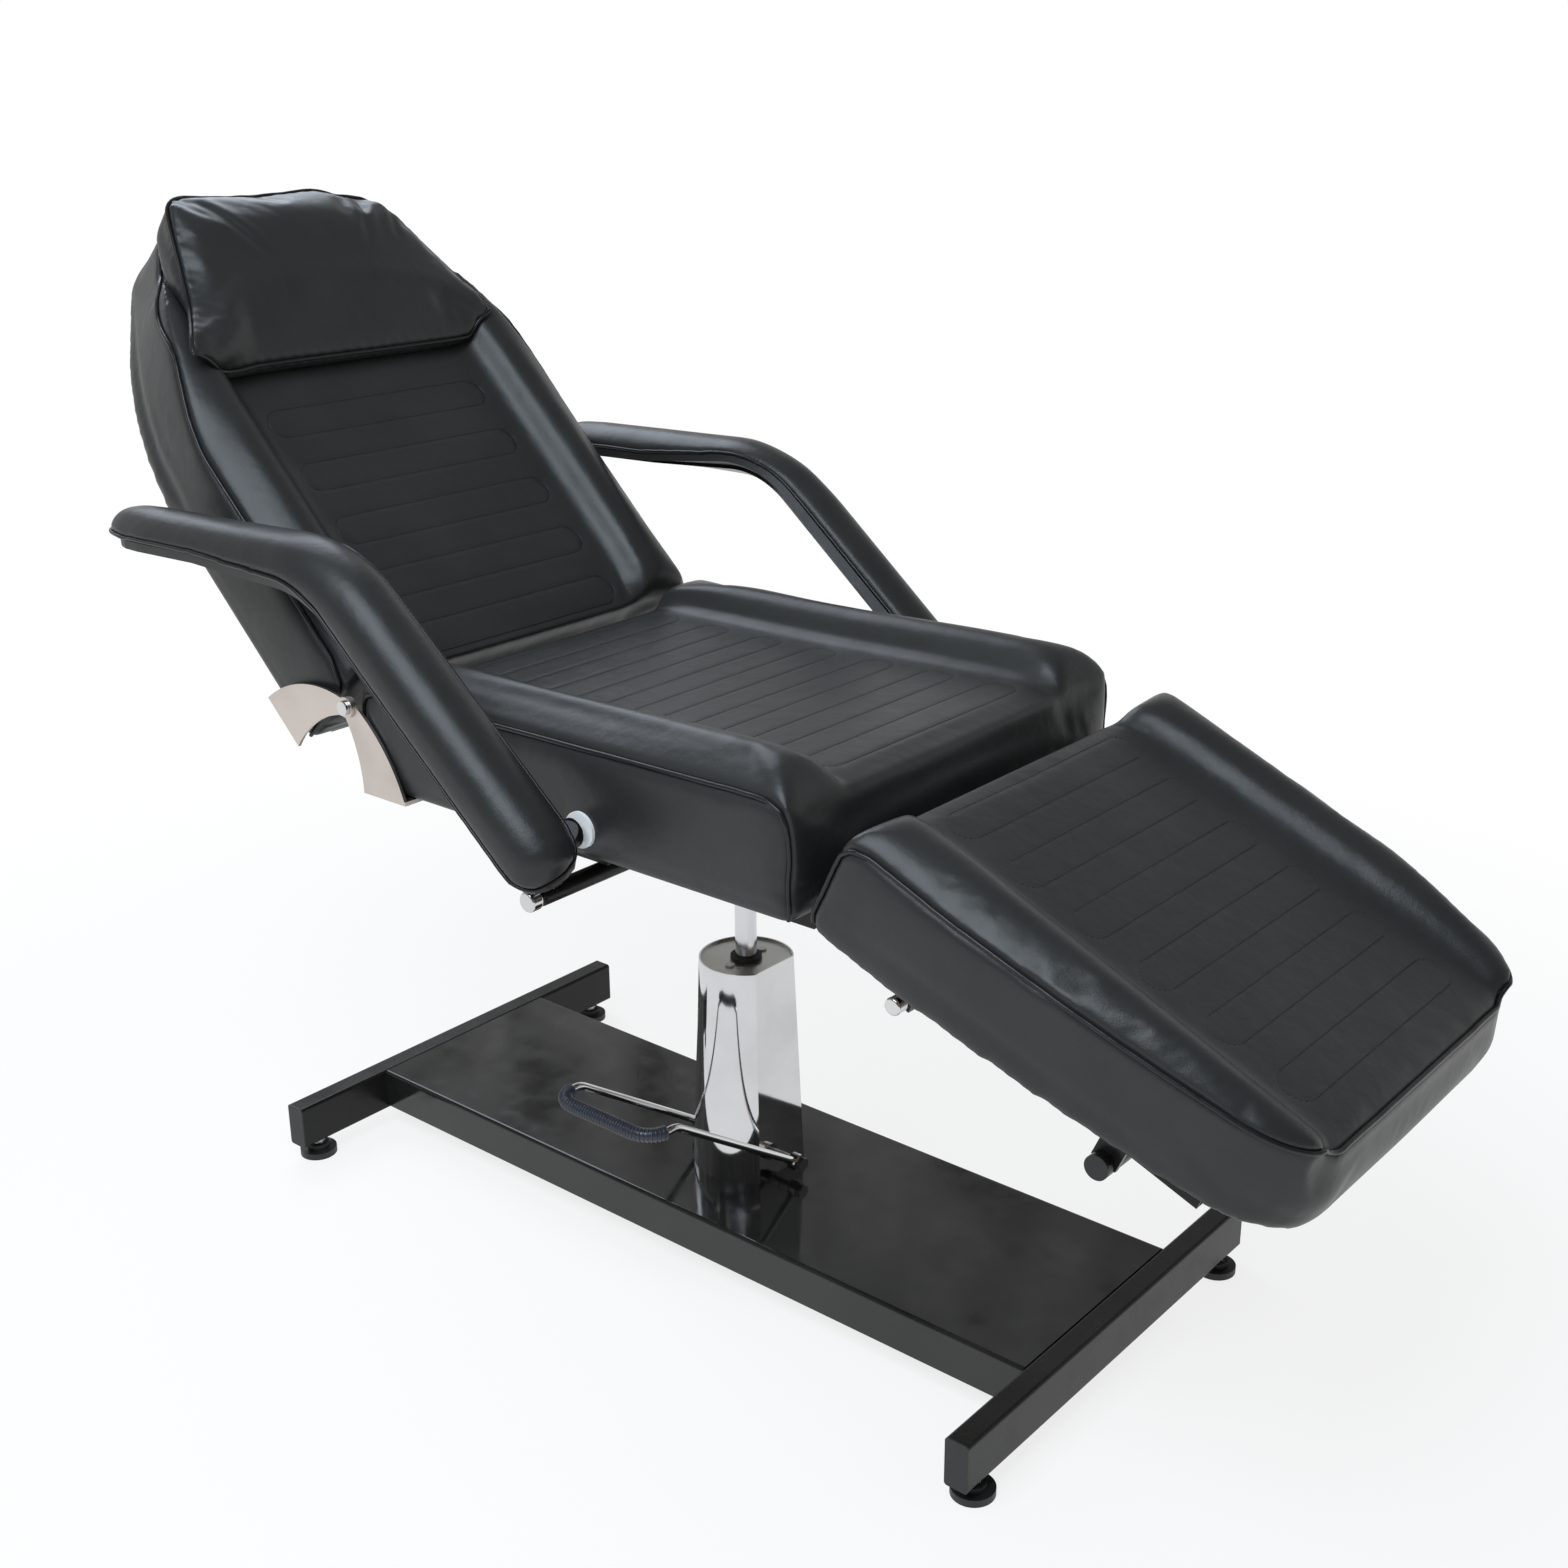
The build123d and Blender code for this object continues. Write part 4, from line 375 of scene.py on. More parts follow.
@dataclass(frozen=True)
class PaintFinish:
    """Sprayed paint with a slight orange peel and rubbed places."""

    name: str
    colour: tuple
    roughness: float
    peel: float = 0.00006
    specular: float = 0.25

    def build(self) -> bpy.types.Material:
        """Lays the peel and the handling marks."""
        paint = Paint(self.name)
        lighter = tuple(c * 1.6 + 0.004 for c in self.colour)
        tone = paint.blend(paint.noise(5.0, 5.0).rise(0.4, 0.8), self.colour, lighter)
        rough = paint.noise(22.0, 5.0).rise(0.3, 0.9) * 0.14 + self.roughness
        normal = paint.bump(paint.noise(180.0, 2.0), self.peel)
        return paint.surface(
            Base_Color=tone, Roughness=rough, Normal=normal, Specular_IOR_Level=self.specular,
        )


@dataclass(frozen=True)
class MetalFinish:
    """Bare or plated metal, with lines that follow how it was worked."""

    name: str
    colour: tuple
    roughness: float
    lines: tuple = (60.0, 60.0, 60.0)
    depth: float = 0.00001
    spread: float = 0.08

    def build(self) -> bpy.types.Material:
        """Lays the working lines and the smudges."""
        paint = Paint(self.name)
        lines = paint.noise(1.0, 3.0, paint.stretched(self.lines))
        dull = tuple(c * 0.86 for c in self.colour)
        tone = paint.blend(paint.noise(9.0, 4.0).rise(0.35, 0.8), self.colour, dull)
        rough = lines * self.spread + paint.noise(18.0, 5.0).rise(0.45, 0.85) * 0.05 + self.roughness
        normal = paint.bump(lines, self.depth)
        return paint.surface(Base_Color=tone, Metallic=1.0, Roughness=rough, Normal=normal)


@dataclass(frozen=True)
class PlasticFinish:
    """Moulded plastic or rubber with a spark-eroded grain."""

    name: str
    colour: tuple
    roughness: float
    grain: float = 0.00005

    def build(self) -> bpy.types.Material:
        """Lays the grain and a little dust."""
        paint = Paint(self.name)
        lighter = tuple(min(c * 1.3 + 0.006, 1.0) for c in self.colour)
        tone = paint.blend(paint.noise(30.0, 4.0).rise(0.45, 0.9), self.colour, lighter)
        rough = paint.noise(60.0, 3.0) * 0.12 + self.roughness
        normal = paint.bump(paint.noise(900.0, 2.0), self.grain)
        return paint.surface(Base_Color=tone, Roughness=rough, Normal=normal)


@dataclass(frozen=True)
class BoardFinish:
    """Raw plywood."""

    name: str
    light: tuple = (0.50, 0.37, 0.24)
    dark: tuple = (0.30, 0.20, 0.12)

    def build(self) -> bpy.types.Material:
        """Lays long grain streaks and pores."""
        paint = Paint(self.name)
        streaks = paint.noise(1.0, 6.0, paint.stretched((4.0, 70.0, 70.0)))
        pores = paint.noise(1.0, 2.0, paint.stretched((60.0, 900.0, 900.0)))
        tone = paint.blend(streaks.rise(0.3, 0.7), self.light, self.dark)
        normal = paint.bump(streaks * 0.5 + pores * 0.5, 0.0002)
        return paint.surface(Base_Color=tone, Roughness=pores * 0.2 + 0.6, Normal=normal)


class Finish(Enum):
    """The finishes of the chair's own pieces."""

    VINYL = VinylFinish("black_vinyl")
    SEAT_VINYL = VinylFinish("seat_vinyl", loops=SEAT_LOOPS)
    BACK_VINYL = VinylFinish("back_vinyl", loops=BACK_LOOPS)
    LEG_VINYL = VinylFinish("leg_vinyl", loops=LEG_LOOPS)
    WELT = VinylFinish("welt_vinyl", (0.010, 0.010, 0.011), 0.30)
    THREAD = PlasticFinish("sewing_thread", (0.03, 0.03, 0.032), 0.7)
    STEEL_PAINT = PaintFinish("black_paint", (0.0085, 0.0080, 0.0072), 0.22)
    DECK_PAINT = PaintFinish("deck_paint", (0.0085, 0.0083, 0.0078), 0.06, 0.00002, 0.5)
    CHROME = MetalFinish("chrome", (0.66, 0.66, 0.67), 0.05, spread=0.02)
    PLATE = MetalFinish("polished_plate", (0.66, 0.60, 0.56), 0.34, (9.0, 60.0, 320.0), 0.00002)
    LID = MetalFinish("brushed_lid", (0.62, 0.64, 0.62), 0.28, (20.0, 700.0, 60.0), 0.00003, 0.14)
    ROD = MetalFinish("ground_rod", (0.66, 0.66, 0.68), 0.13, (40.0, 40.0, 900.0), 0.00001)
    ZINC = MetalFinish("zinc_steel", (0.58, 0.58, 0.56), 0.34, spread=0.12)
    CAP = PlasticFinish("black_plastic", (0.014, 0.014, 0.014), 0.45)
    WASHER = PlasticFinish("white_plastic", (0.90, 0.90, 0.88), 0.38)
    RUBBER = PlasticFinish("black_rubber", (0.018, 0.018, 0.018), 0.62)
    GRIP = PlasticFinish("grip_plastic", (0.030, 0.034, 0.048), 0.20)
    IRON = PaintFinish("pump_iron", (0.020, 0.020, 0.020), 0.5, 0.0002, 0.4)
    BOARD = BoardFinish("plywood")


class PaintShop:
    """Builds each finish once and hands it out."""

    def __init__(self) -> None:
        """Starts with no materials."""
        self._made: dict = {}

    def get(self, finish: Finish) -> bpy.types.Material:
        """The material of a finish."""
        if finish not in self._made:
            self._made[finish] = finish.value.build()
        return self._made[finish]


# Mesh work

def vectors(holder: Any, key: str) -> np.ndarray:
    """One vector of each member as an array."""
    flat = np.empty(len(holder) * 3, np.float32)
    holder.foreach_get(key, flat)
    return flat.reshape(-1, 3).astype(float)


def coordinates(mesh: bpy.types.Mesh) -> np.ndarray:
    """Vertex places as an array."""
    return vectors(mesh.vertices, "co")


def normals(mesh: bpy.types.Mesh) -> np.ndarray:
    """Vertex normals as an array."""
    return vectors(mesh.vertex_normals, "vector")


def put_coordinates(mesh: bpy.types.Mesh, points: np.ndarray) -> None:
    """Writes vertex places back."""
    mesh.vertices.foreach_set("co", points.astype(np.float32).ravel())
    mesh.update()


def bell(away: np.ndarray, reach: float) -> np.ndarray:
    """1 at no distance, faded to 37% at the reach."""
    return np.exp(-((away / reach) ** 2))


def link(name: str, mesh: bpy.types.Mesh) -> bpy.types.Object:
    """New object for a mesh, at the origin."""
    made = bpy.data.objects.new(name, mesh)
    bpy.context.scene.collection.objects.link(made)
    return made


def evaluated_mesh(source: bpy.types.Object) -> bpy.types.Mesh:
    """The object's mesh with its modifiers applied."""
    bpy.context.view_layer.update()
    graph = bpy.context.evaluated_depsgraph_get()
    return bpy.data.meshes.new_from_object(source.evaluated_get(graph))


def relaxed(mesh: bpy.types.Mesh, points: np.ndarray, rounds: int) -> np.ndarray:
    """Evens points out towards their neighbours.

    Args:
        mesh: The mesh whose edges say who the neighbours are.
        points: The places to even out.
        rounds: How many times.

    Returns:
        The new places.
    """
    pairs = np.empty(len(mesh.edges) * 2, np.int32)
    mesh.edges.foreach_get("vertices", pairs)
    pairs = pairs.reshape(-1, 2)
    count = np.bincount(pairs.ravel(), minlength=len(points)).astype(float)[:, None]
    for _ in range(rounds):
        total = np.zeros_like(points)
        np.add.at(total, pairs[:, 0], points[pairs[:, 1]])
        np.add.at(total, pairs[:, 1], points[pairs[:, 0]])
        points = points * 0.5 + total / np.maximum(count, 1) * 0.5
    return points


def arc_points(first: tuple, middle: tuple, last: tuple, count: int) -> list:
    """Points on the arc through three plan points, without the last one."""
    ax, ay, bx, by, cx, cy = *first, *middle, *last
    d = 2 * (ax * (by - cy) + bx * (cy - ay) + cx * (ay - by))
    squares = [p[0] ** 2 + p[1] ** 2 for p in (first, middle, last)]
    ux = (squares[0] * (by - cy) + squares[1] * (cy - ay) + squares[2] * (ay - by)) / d
    uy = (squares[0] * (cx - bx) + squares[1] * (ax - cx) + squares[2] * (bx - ax)) / d
    radius = math.hypot(ax - ux, ay - uy)
    angles = [math.atan2(p[1] - uy, p[0] - ux) for p in (first, middle, last)]
    sweep = [(a - angles[0] + math.pi) % (2 * math.pi) - math.pi for a in angles]
    turn = sweep[2] if sweep[1] * sweep[2] > 0 else sweep[2] - math.copysign(2 * math.pi, sweep[2])
    steps = [angles[0] + turn * i / count for i in range(count)]
    return [(ux + radius * math.cos(a), uy + radius * math.sin(a)) for a in steps]


def ease(values: np.ndarray, low: float, high: float) -> np.ndarray:
    """0 at low and 1 at high, smooth between, for arrays."""
    share = np.clip((values - low) / (high - low), 0, 1)
    return share * share * (3 - 2 * share)


def dense(points: np.ndarray, step: float) -> np.ndarray:
    """The same path with points no further apart than step."""
    out = []
    for a, b in zip(points[:-1], points[1:]):
        count = max(int(np.linalg.norm(b - a) / step), 1)
        out += [a + (b - a) * i / count for i in range(count)]
    return np.array(out + [points[-1]])


class Cover:
    """The outer surface of a finished cushion, to lay trim on."""

    def __init__(self, mesh: bpy.types.Mesh) -> None:
        """Indexes the surface."""
        points = [tuple(p) for p in coordinates(mesh)]
        self.tree = BVHTree.FromPolygons(points, [tuple(p.vertices) for p in mesh.polygons])

    def nearest(self, points: np.ndarray, lift: float) -> np.ndarray:
        """Moves points onto the surface and lift metres off it."""
        out = []
        for point in points:
            place, normal, _, _ = self.tree.find_nearest(Vector(point))
            out.append(np.array(place) + np.array(normal) * lift)
        return np.array(out)


# Trim that follows a path

class PathKind(Enum):
    """What a path of trim is made of."""

    WELT = "welt"
    STITCHES = "stitches"
    RIBS = "ribs"


@dataclass(frozen=True)
class PathTree:
    """Geometry Nodes that make a welt, a row of stitches or a ribbed sleeve on a path."""

    kind: PathKind
    material: bpy.types.Material
    tube_sides: int = 10
    sleeve_sides: int = 20
    rib_sides: int = 6

    def build(self) -> bpy.types.NodeTree:
        """Lays the nodes, from the path to Realize Instances and Set Material."""
        tree = bpy.data.node_groups.new(f"{self.kind.value}_on_path", "GeometryNodeTree")
        tree.interface.new_socket("Geometry", in_out="INPUT", socket_type="NodeSocketGeometry")
        for name in ("Radius", "Pitch", "Length"):
            tree.interface.new_socket(name, in_out="INPUT", socket_type="NodeSocketFloat")
        tree.interface.new_socket("Geometry", in_out="OUTPUT", socket_type="NodeSocketGeometry")
        desk = NodeDesk(tree)
        given = desk.make("NodeGroupInput").outputs
        curve = desk.out("GeometryNodeMeshToCurve", None, {"Mesh": given["Geometry"]})
        inputs = {"Curve": curve, "Length": given["Pitch"]}
        even = desk.out("GeometryNodeResampleCurve", {"mode": "LENGTH"}, inputs)
        shape = getattr(self, f"_{self.kind.value}")(desk, given, even)
        smooth = desk.out("GeometryNodeSetShadeSmooth", None, {0: shape})
        real = desk.out("GeometryNodeRealizeInstances", None, {0: smooth})
        made = desk.out("GeometryNodeSetMaterial", None, {"Geometry": real, "Material": self.material})
        desk.make("NodeGroupOutput", None, {0: made})
        return tree

    @staticmethod
    def _ring(desk: NodeDesk, radius: Any, sides: int) -> Any:
        """Circle of straight sides."""
        inputs = {"Resolution": sides, "Radius": radius}
        return desk.out("GeometryNodeCurvePrimitiveCircle", None, inputs)

    def _tube(self, desk: NodeDesk, path: Any, radius: Any, sides: int) -> Any:
        """Round tube along a path."""
        inputs = {"Curve": path, "Profile Curve": self._ring(desk, radius, sides), "Fill Caps": True}
        return desk.out("GeometryNodeCurveToMesh", None, inputs)

    @staticmethod
    def _on_points(desk: NodeDesk, path: Any, piece: Any) -> Any:
        """One copy of a piece at each point, its Z turned along the path."""
        points = desk.make("GeometryNodeCurveToPoints", {"mode": "EVALUATED"}, {0: path}).outputs
        inputs = {"Vector": points["Tangent"]}
        turn = desk.out("FunctionNodeAlignRotationToVector", {"axis": "Z"}, inputs)
        inputs = {"Points": points[0], "Instance": piece, "Rotation": turn}
        return desk.out("GeometryNodeInstanceOnPoints", None, inputs)

    def _welt(self, desk: NodeDesk, given: Any, even: Any) -> Any:
        """Plain round welt."""
        return self._tube(desk, even, given["Radius"], self.tube_sides)

    def _stitches(self, desk: NodeDesk, given: Any, even: Any) -> Any:
        """Short rounded threads."""
        bead = desk.out("GeometryNodeMeshUVSphere", None, {"Segments": 6, "Rings": 4, "Radius": 1.0})
        size = {0: given["Radius"], 1: given["Radius"], 2: given["Length"]}
        size = desk.out("ShaderNodeCombineXYZ", None, size)
        thread = desk.out("GeometryNodeTransform", None, {"Geometry": bead, "Scale": size})
        return self._on_points(desk, even, thread)

    def _ribs(self, desk: NodeDesk, given: Any, even: Any) -> Any:
        """Sleeve with a round rib at each step."""
        sleeve = self._tube(desk, even, given["Radius"], self.sleeve_sides)
        ring = self._ring(desk, given["Radius"], self.sleeve_sides)
        rib = self._tube(desk, ring, given["Length"], self.rib_sides)
        both = desk.make("GeometryNodeJoinGeometry")
        for part in (sleeve, self._on_points(desk, even, rib)):
            desk.feed(both.inputs[0], part)
        return both.outputs[0]


@dataclass
class PathTrim:
    """Trim laid along one or more paths of one body."""

    name: str
    body: str
    kind: PathKind
    finish: Finish
    radius: float
    pitch: float
    length: float = 0.0
    paths: list = field(default_factory=list)
    closed: bool = False

    def build(self, shop: PaintShop) -> Optional[bpy.types.Object]:
        """Makes the trim one plain mesh that rides on its body.

        Args:
            shop: Where the material comes from.

        Returns:
            The trim's object, or nothing if there is no path.
        """
        if not self.paths:
            return None
        verts, edges = [], []
        for path in self.paths:
            base = len(verts)
            verts += [tuple(p) for p in path]
            edges += [(base + i, base + i + 1) for i in range(len(path) - 1)]
            if self.closed:
                edges.append((base + len(path) - 1, base))
        mesh = bpy.data.meshes.new(self.name + "_path")
        mesh.from_pydata(verts, edges, [])
        source = link(self.name + "_path", mesh)
        tree = PathTree(self.kind, shop.get(self.finish)).build()
        modifier = source.modifiers.new("path", "NODES")
        modifier.node_group = tree
        values = {"Radius": self.radius, "Pitch": self.pitch, "Length": self.length}
        for item in tree.interface.items_tree:
            if item.in_out == "INPUT" and item.name in values:
                modifier[item.identifier] = values[item.name]
        made = link(self.name, evaluated_mesh(source))
        bpy.data.objects.remove(source)
        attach(made, self.body)
        LOG.info("%s: %d paths, %d faces", self.name, len(self.paths), len(made.data.polygons))
        return made


# Padded pieces

@dataclass(frozen=True)
class Sewing:
    """How every cover is taken in, filled and sewn, in metres.

    A reach is where a hollow has faded to 37%. side_wall, face_from and end_share have no unit.
    """

    taken_in: float = 0.002
    held_fade: float = 0.02
    channel_half: float = 0.009
    channel_depth: float = 0.011
    field_half: float = 0.215
    field_fade: float = 0.03
    side_wall: tuple = (0.55, 0.90)
    face_from: float = 3.0
    face_fade: float = 0.01
    seam_reach: float = 0.0036
    end_fade: float = 0.02
    end_reach: float = 0.010
    end_share: float = 0.6
    trim_step: float = 0.004
    trim_lift: float = 0.0004
    welt_step: float = 0.006
    welt_depth: float = 0.0022
    welt_reach: float = 0.0050
    ripple: float = 0.021
    ripple_reach: float = 0.016
    loop_step: float = 0.006
    thread_lift: float = 0.0001
    thread_radius: float = 0.00045
    stitch_pitch: float = 0.0062
    stitch_half: float = 0.0019


SEWING = Sewing()
STEPS = 20
CLOTH = {
    "quality": 4, "mass": 0.3, "tension_stiffness": 30.0, "compression_stiffness": 30.0,
    "shear_stiffness": 15.0, "bending_stiffness": 2.0, "use_pressure": True,
    "uniform_pressure_force": 4.0, "vertex_group_mass": "held",
}


@dataclass
class PaddedPiece:
    """A cushion or pad: its start form, its filling and its sewn lines."""

    name: str
    node: str
    body: str
    finish: Finish
    plane: CushionPlane
    voxel: float = 0.006
    cap: float = 0.0065
    field_cap: float = 0.004
    held_below: float = 0.012
    fill: float = 0.8
    loops: Optional[SewnLoops] = None
    welt_radius: float = 0.0026
    rounds: int = 6
    welts: list = field(default_factory=list)
    seam_depth: float = 0.0011
    side_cap: float = 0.0025
    pucker: float = 0.0
    creases: tuple = ()

    def shaped(self, local: np.ndarray) -> np.ndarray:
        """Gives local points the fuller form of the real cushion; plain pieces keep theirs."""
        return local

    def lay_out(self) -> None:
        """Copies the solid's form, evens its mesh and takes it in a little."""
        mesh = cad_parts[self.node].data.copy()
        shape = bmesh.new()
        shape.from_mesh(mesh)
        bmesh.ops.remove_doubles(shape, verts=shape.verts, dist=1e-5)
        bmesh.ops.recalc_face_normals(shape, faces=shape.faces)
        shape.to_mesh(mesh)
        shape.free()
        mesh.materials.clear()
        rough = link(self.name + "_form", mesh)
        remesh = rough.modifiers.new("even", "REMESH")
        remesh.mode, remesh.voxel_size = "VOXEL", self.voxel
        even = evaluated_mesh(rough)
        bpy.data.objects.remove(rough)
        self.outer = self._without_grooves(coordinates(even))
        self.outer = relaxed(even, self.outer, self.rounds)
        shaped = self.plane.world(self.shaped(self.plane.local(self.outer)))
        self.outer = relaxed(even, shaped, 2)
        put_coordinates(even, self.outer)
        self.start = self.outer - normals(even) * SEWING.taken_in * self._free(self.outer)[:, None]
        put_coordinates(even, self.start)
        self.object = link(self.name, even)

    def _without_grooves(self, points: np.ndarray) -> np.ndarray:
        """Fills the solid's plain channels, which the sewn ones replace."""
        if self.loops is None:
            return points
        local = self.plane.local(points)
        beside = self.loops.distance(local) < SEWING.channel_half
        near = beside & (np.abs(local[:, 2] - self.loops.level) < SEWING.channel_depth)
        local[near, 2] = self.loops.level
        return self.plane.world(local)

    def _free(self, points: np.ndarray) -> np.ndarray:
        """0 where the cover is fixed underneath and 1 where it is free."""
        height = self.plane.local(points)[:, 2]
        low = height.min() + self.held_below
        return np.clip((height - low) / SEWING.held_fade, 0, 1)

    def fill_with_pressure(self) -> None:
        """Adds the cloth that blows the cover up from inside."""
        free = self._free(self.start)
        group = self.object.vertex_groups.new(name="held")
        group.add(np.nonzero(free <= 0.0)[0].tolist(), 1.0, "REPLACE")
        group.add(np.nonzero(free <= 0.5)[0].tolist(), 0.6, "ADD")
        cloth = self.object.modifiers.new("filling", "CLOTH")
        for key, value in CLOTH.items():
            setattr(cloth.settings, key, value)
        cloth.settings.effector_weights.gravity = 0.0
        cloth.collision_settings.use_collision = False
        cloth.point_cache.frame_end = STEPS

    def settle(self) -> None:
        """Keeps the blown form within its cap and applies it."""
        if self.object.modifiers:
            blown = evaluated_mesh(self.object)
            moved = coordinates(blown) - self.start
            bpy.data.meshes.remove(blown)
            self.object.modifiers.clear()
            self.object.vertex_groups.clear()
        else:
            moved = np.zeros_like(self.start)
        length = np.linalg.norm(moved, axis=1)
        cap = np.full(len(length), self.cap)
        if self.loops is not None:
            across = np.abs(self.plane.local(self.start)[:, 1])
            inner = np.clip((SEWING.field_half - across) / SEWING.field_fade, 0, 1)
            cap += (self.field_cap - self.cap) * inner
        facing = np.abs(normals(self.object.data)[:, 1])
        cap += (self.side_cap - cap) * ease(facing, *SEWING.side_wall)
        soft = cap * np.tanh(length / np.maximum(cap, 1e-6))
        points = self.start + moved * (soft / np.maximum(length, 1e-9))[:, None]
        put_coordinates(self.object.data, relaxed(self.object.data, points, 1))

    def finish_cover(self, shop: PaintShop) -> None:
        """Subdivides, sews and dresses the cover.

        Args:
            shop: Where the materials come from.
        """
        finer = self.object.modifiers.new("finer", "SUBSURF")
        finer.levels = finer.render_levels = 1
        mesh = evaluated_mesh(self.object)
        self.object.modifiers.clear()
        old, self.object.data = self.object.data, mesh
        bpy.data.meshes.remove(old)
        cover = Cover(mesh)
        paths = [self.plane.world(self.shaped(w)) for w in self.welts]
        trims = [cover.nearest(dense(path, SEWING.trim_step), SEWING.trim_lift) for path in paths]
        self._sew(mesh, trims)
        mesh.polygons.foreach_set("use_smooth", np.ones(len(mesh.polygons), bool))
        mesh.materials.clear()
        mesh.materials.append(shop.get(self.finish))
        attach(self.object, self.body)
        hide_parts(self.node)
        LOG.info("%s: %d faces", self.name, len(mesh.polygons))
        welt = PathTrim(
            self.name + "_welt", self.body, PathKind.WELT, Finish.WELT, self.welt_radius,
            SEWING.welt_step, paths=trims,
        ).build(shop)
        if self.loops is not None:
            self._stitch(mesh, shop)

    def _sew(self, mesh: bpy.types.Mesh, trims: list) -> None:
        """Draws the cover in at the seams."""
        points, outward = coordinates(mesh), normals(mesh)
        local = self.plane.local(points)
        draw = np.zeros(len(points))
        if self.loops is not None:
            away = self.loops.distance(local)
            top = np.clip((local[:, 2] - self.loops.level) / SEWING.face_fade + SEWING.face_from, 0, 1)
            ends = ease(np.abs(local[:, 1]) - self.loops.straight, 0.0, SEWING.end_fade)
            depth = self.seam_depth * top * (1 - ends * (1 - self.loops.shown_ends))
            draw += depth * bell(away, SEWING.seam_reach)
            draw += SEWING.end_share * depth * bell(away, SEWING.end_reach) * ends
        if trims:
            samples = np.concatenate(trims)
            tree = KDTree(len(samples))
            for i, sample in enumerate(samples):
                tree.insert(Vector(sample), i)
            tree.balance()
            away = np.array([tree.find(Vector(p))[2] for p in points])
            draw += SEWING.welt_depth * bell(away, SEWING.welt_reach)
            ripple = np.sin(2 * math.pi * (local[:, 0] + local[:, 1]) / SEWING.ripple)
            draw += self.pucker * ripple * bell(away, SEWING.ripple_reach)
        for crease in self.creases:
            draw += crease.depth_at(local)
        put_coordinates(mesh, points - outward * draw[:, None])

    def _stitch(self, mesh: bpy.types.Mesh, shop: PaintShop) -> None:
        """Lays thread along each sewn loop."""
        cover = Cover(mesh)
        rings = []
        for ring in self.loops.outlines(SEWING.loop_step):
            local = np.column_stack([ring, np.full(len(ring), self.loops.level)])
            rings.append(cover.nearest(self.plane.world(local), SEWING.thread_lift))
        thread = PathTrim(
            self.name + "_stitches", self.body, PathKind.STITCHES, Finish.THREAD, SEWING.thread_radius,
            SEWING.stitch_pitch, SEWING.stitch_half, rings, True,
        ).build(shop)


# Sub-assemblies

@dataclass(frozen=True)
class Crease:
    """A pull in the cover, straight in its plane and faded at both ends.

    The fades are shares of its length. The swell is its place and reach in widths, and its share.
    """

    first: tuple
    last: tuple
    depth: float
    width: float
    fade_in: tuple = (-0.05, 0.2)
    fade_out: tuple = (0.55, 1.05)
    face: tuple = (0.09, 0.13)
    swell: tuple = (2.2, 1.2, 0.6)

    def depth_at(self, local: np.ndarray) -> np.ndarray:
        """How far the crease draws in local points, negative where it swells beside."""
        first, last = np.array(self.first), np.array(self.last)
        run = last - first
        length = float(np.linalg.norm(run))
        rest = local[:, :2] - first
        share = rest @ run / length ** 2
        away = (rest[:, 0] * run[1] - rest[:, 1] * run[0]) / length / self.width
        fade = ease(share, *self.fade_in) * (1 - ease(share, *self.fade_out))
        fade = fade * ease(local[:, 2], *self.face)
        place, reach, size = self.swell
        beside = np.exp(-(((np.abs(away) - place) / reach) ** 2))
        return self.depth * fade * (np.exp(-(away ** 2)) - size * beside)


@dataclass
class SeatCover(PaddedPiece):
    """The seat's cover, which the person's weight has left fuller in front."""

    rise: float = 0.007
    rise_along: tuple = (-0.10, 0.30)
    rise_out: tuple = (0.05, 0.11)

    def shaped(self, local: np.ndarray) -> np.ndarray:
        """Raises the front of the seat's top."""
        made = np.array(local, float)
        share = ease(made[:, 0], *self.rise_along) * ease(made[:, 2], *self.rise_out)
        made[:, 2] += self.rise * share
        return made


@dataclass
class LegCover(PaddedPiece):
    """The legrest's cover: rolled edges all round and a full foot."""

    outline: Optional["Legrest"] = None
    edge: float = 0.001
    over: float = 0.003
    flattened: float = 0.35
    flat_along: tuple = (0.40, 0.58)
    foot: float = 0.013
    foot_along: tuple = (0.555, 0.600)
    foot_out: float = -0.066
    foot_reach: float = 0.034

    def shaped(self, local: np.ndarray) -> np.ndarray:
        """Rolls the top edge along the curved outline and fills the foot's front."""
        made = np.array(local, float)
        inside = np.maximum(self.outline.inside(made), 0)
        roll = 1 - np.minimum(inside / self.outline.roll, 1)
        round_top = np.sqrt(np.maximum(1 - roll ** 2, 0))
        rolled = self.edge + (self.outline.crest + self.over) * round_top
        high = made[:, 2]
        high = np.where(high > 0, np.minimum(high, rolled), high)
        high -= self.flattened * np.maximum(high, 0) * ease(made[:, 0], *self.flat_along)
        made[:, 2] = high
        full = np.exp(-(((high - self.foot_out) / self.foot_reach) ** 2))
        made[:, 0] += self.foot * ease(made[:, 0], *self.foot_along) * full
        return made


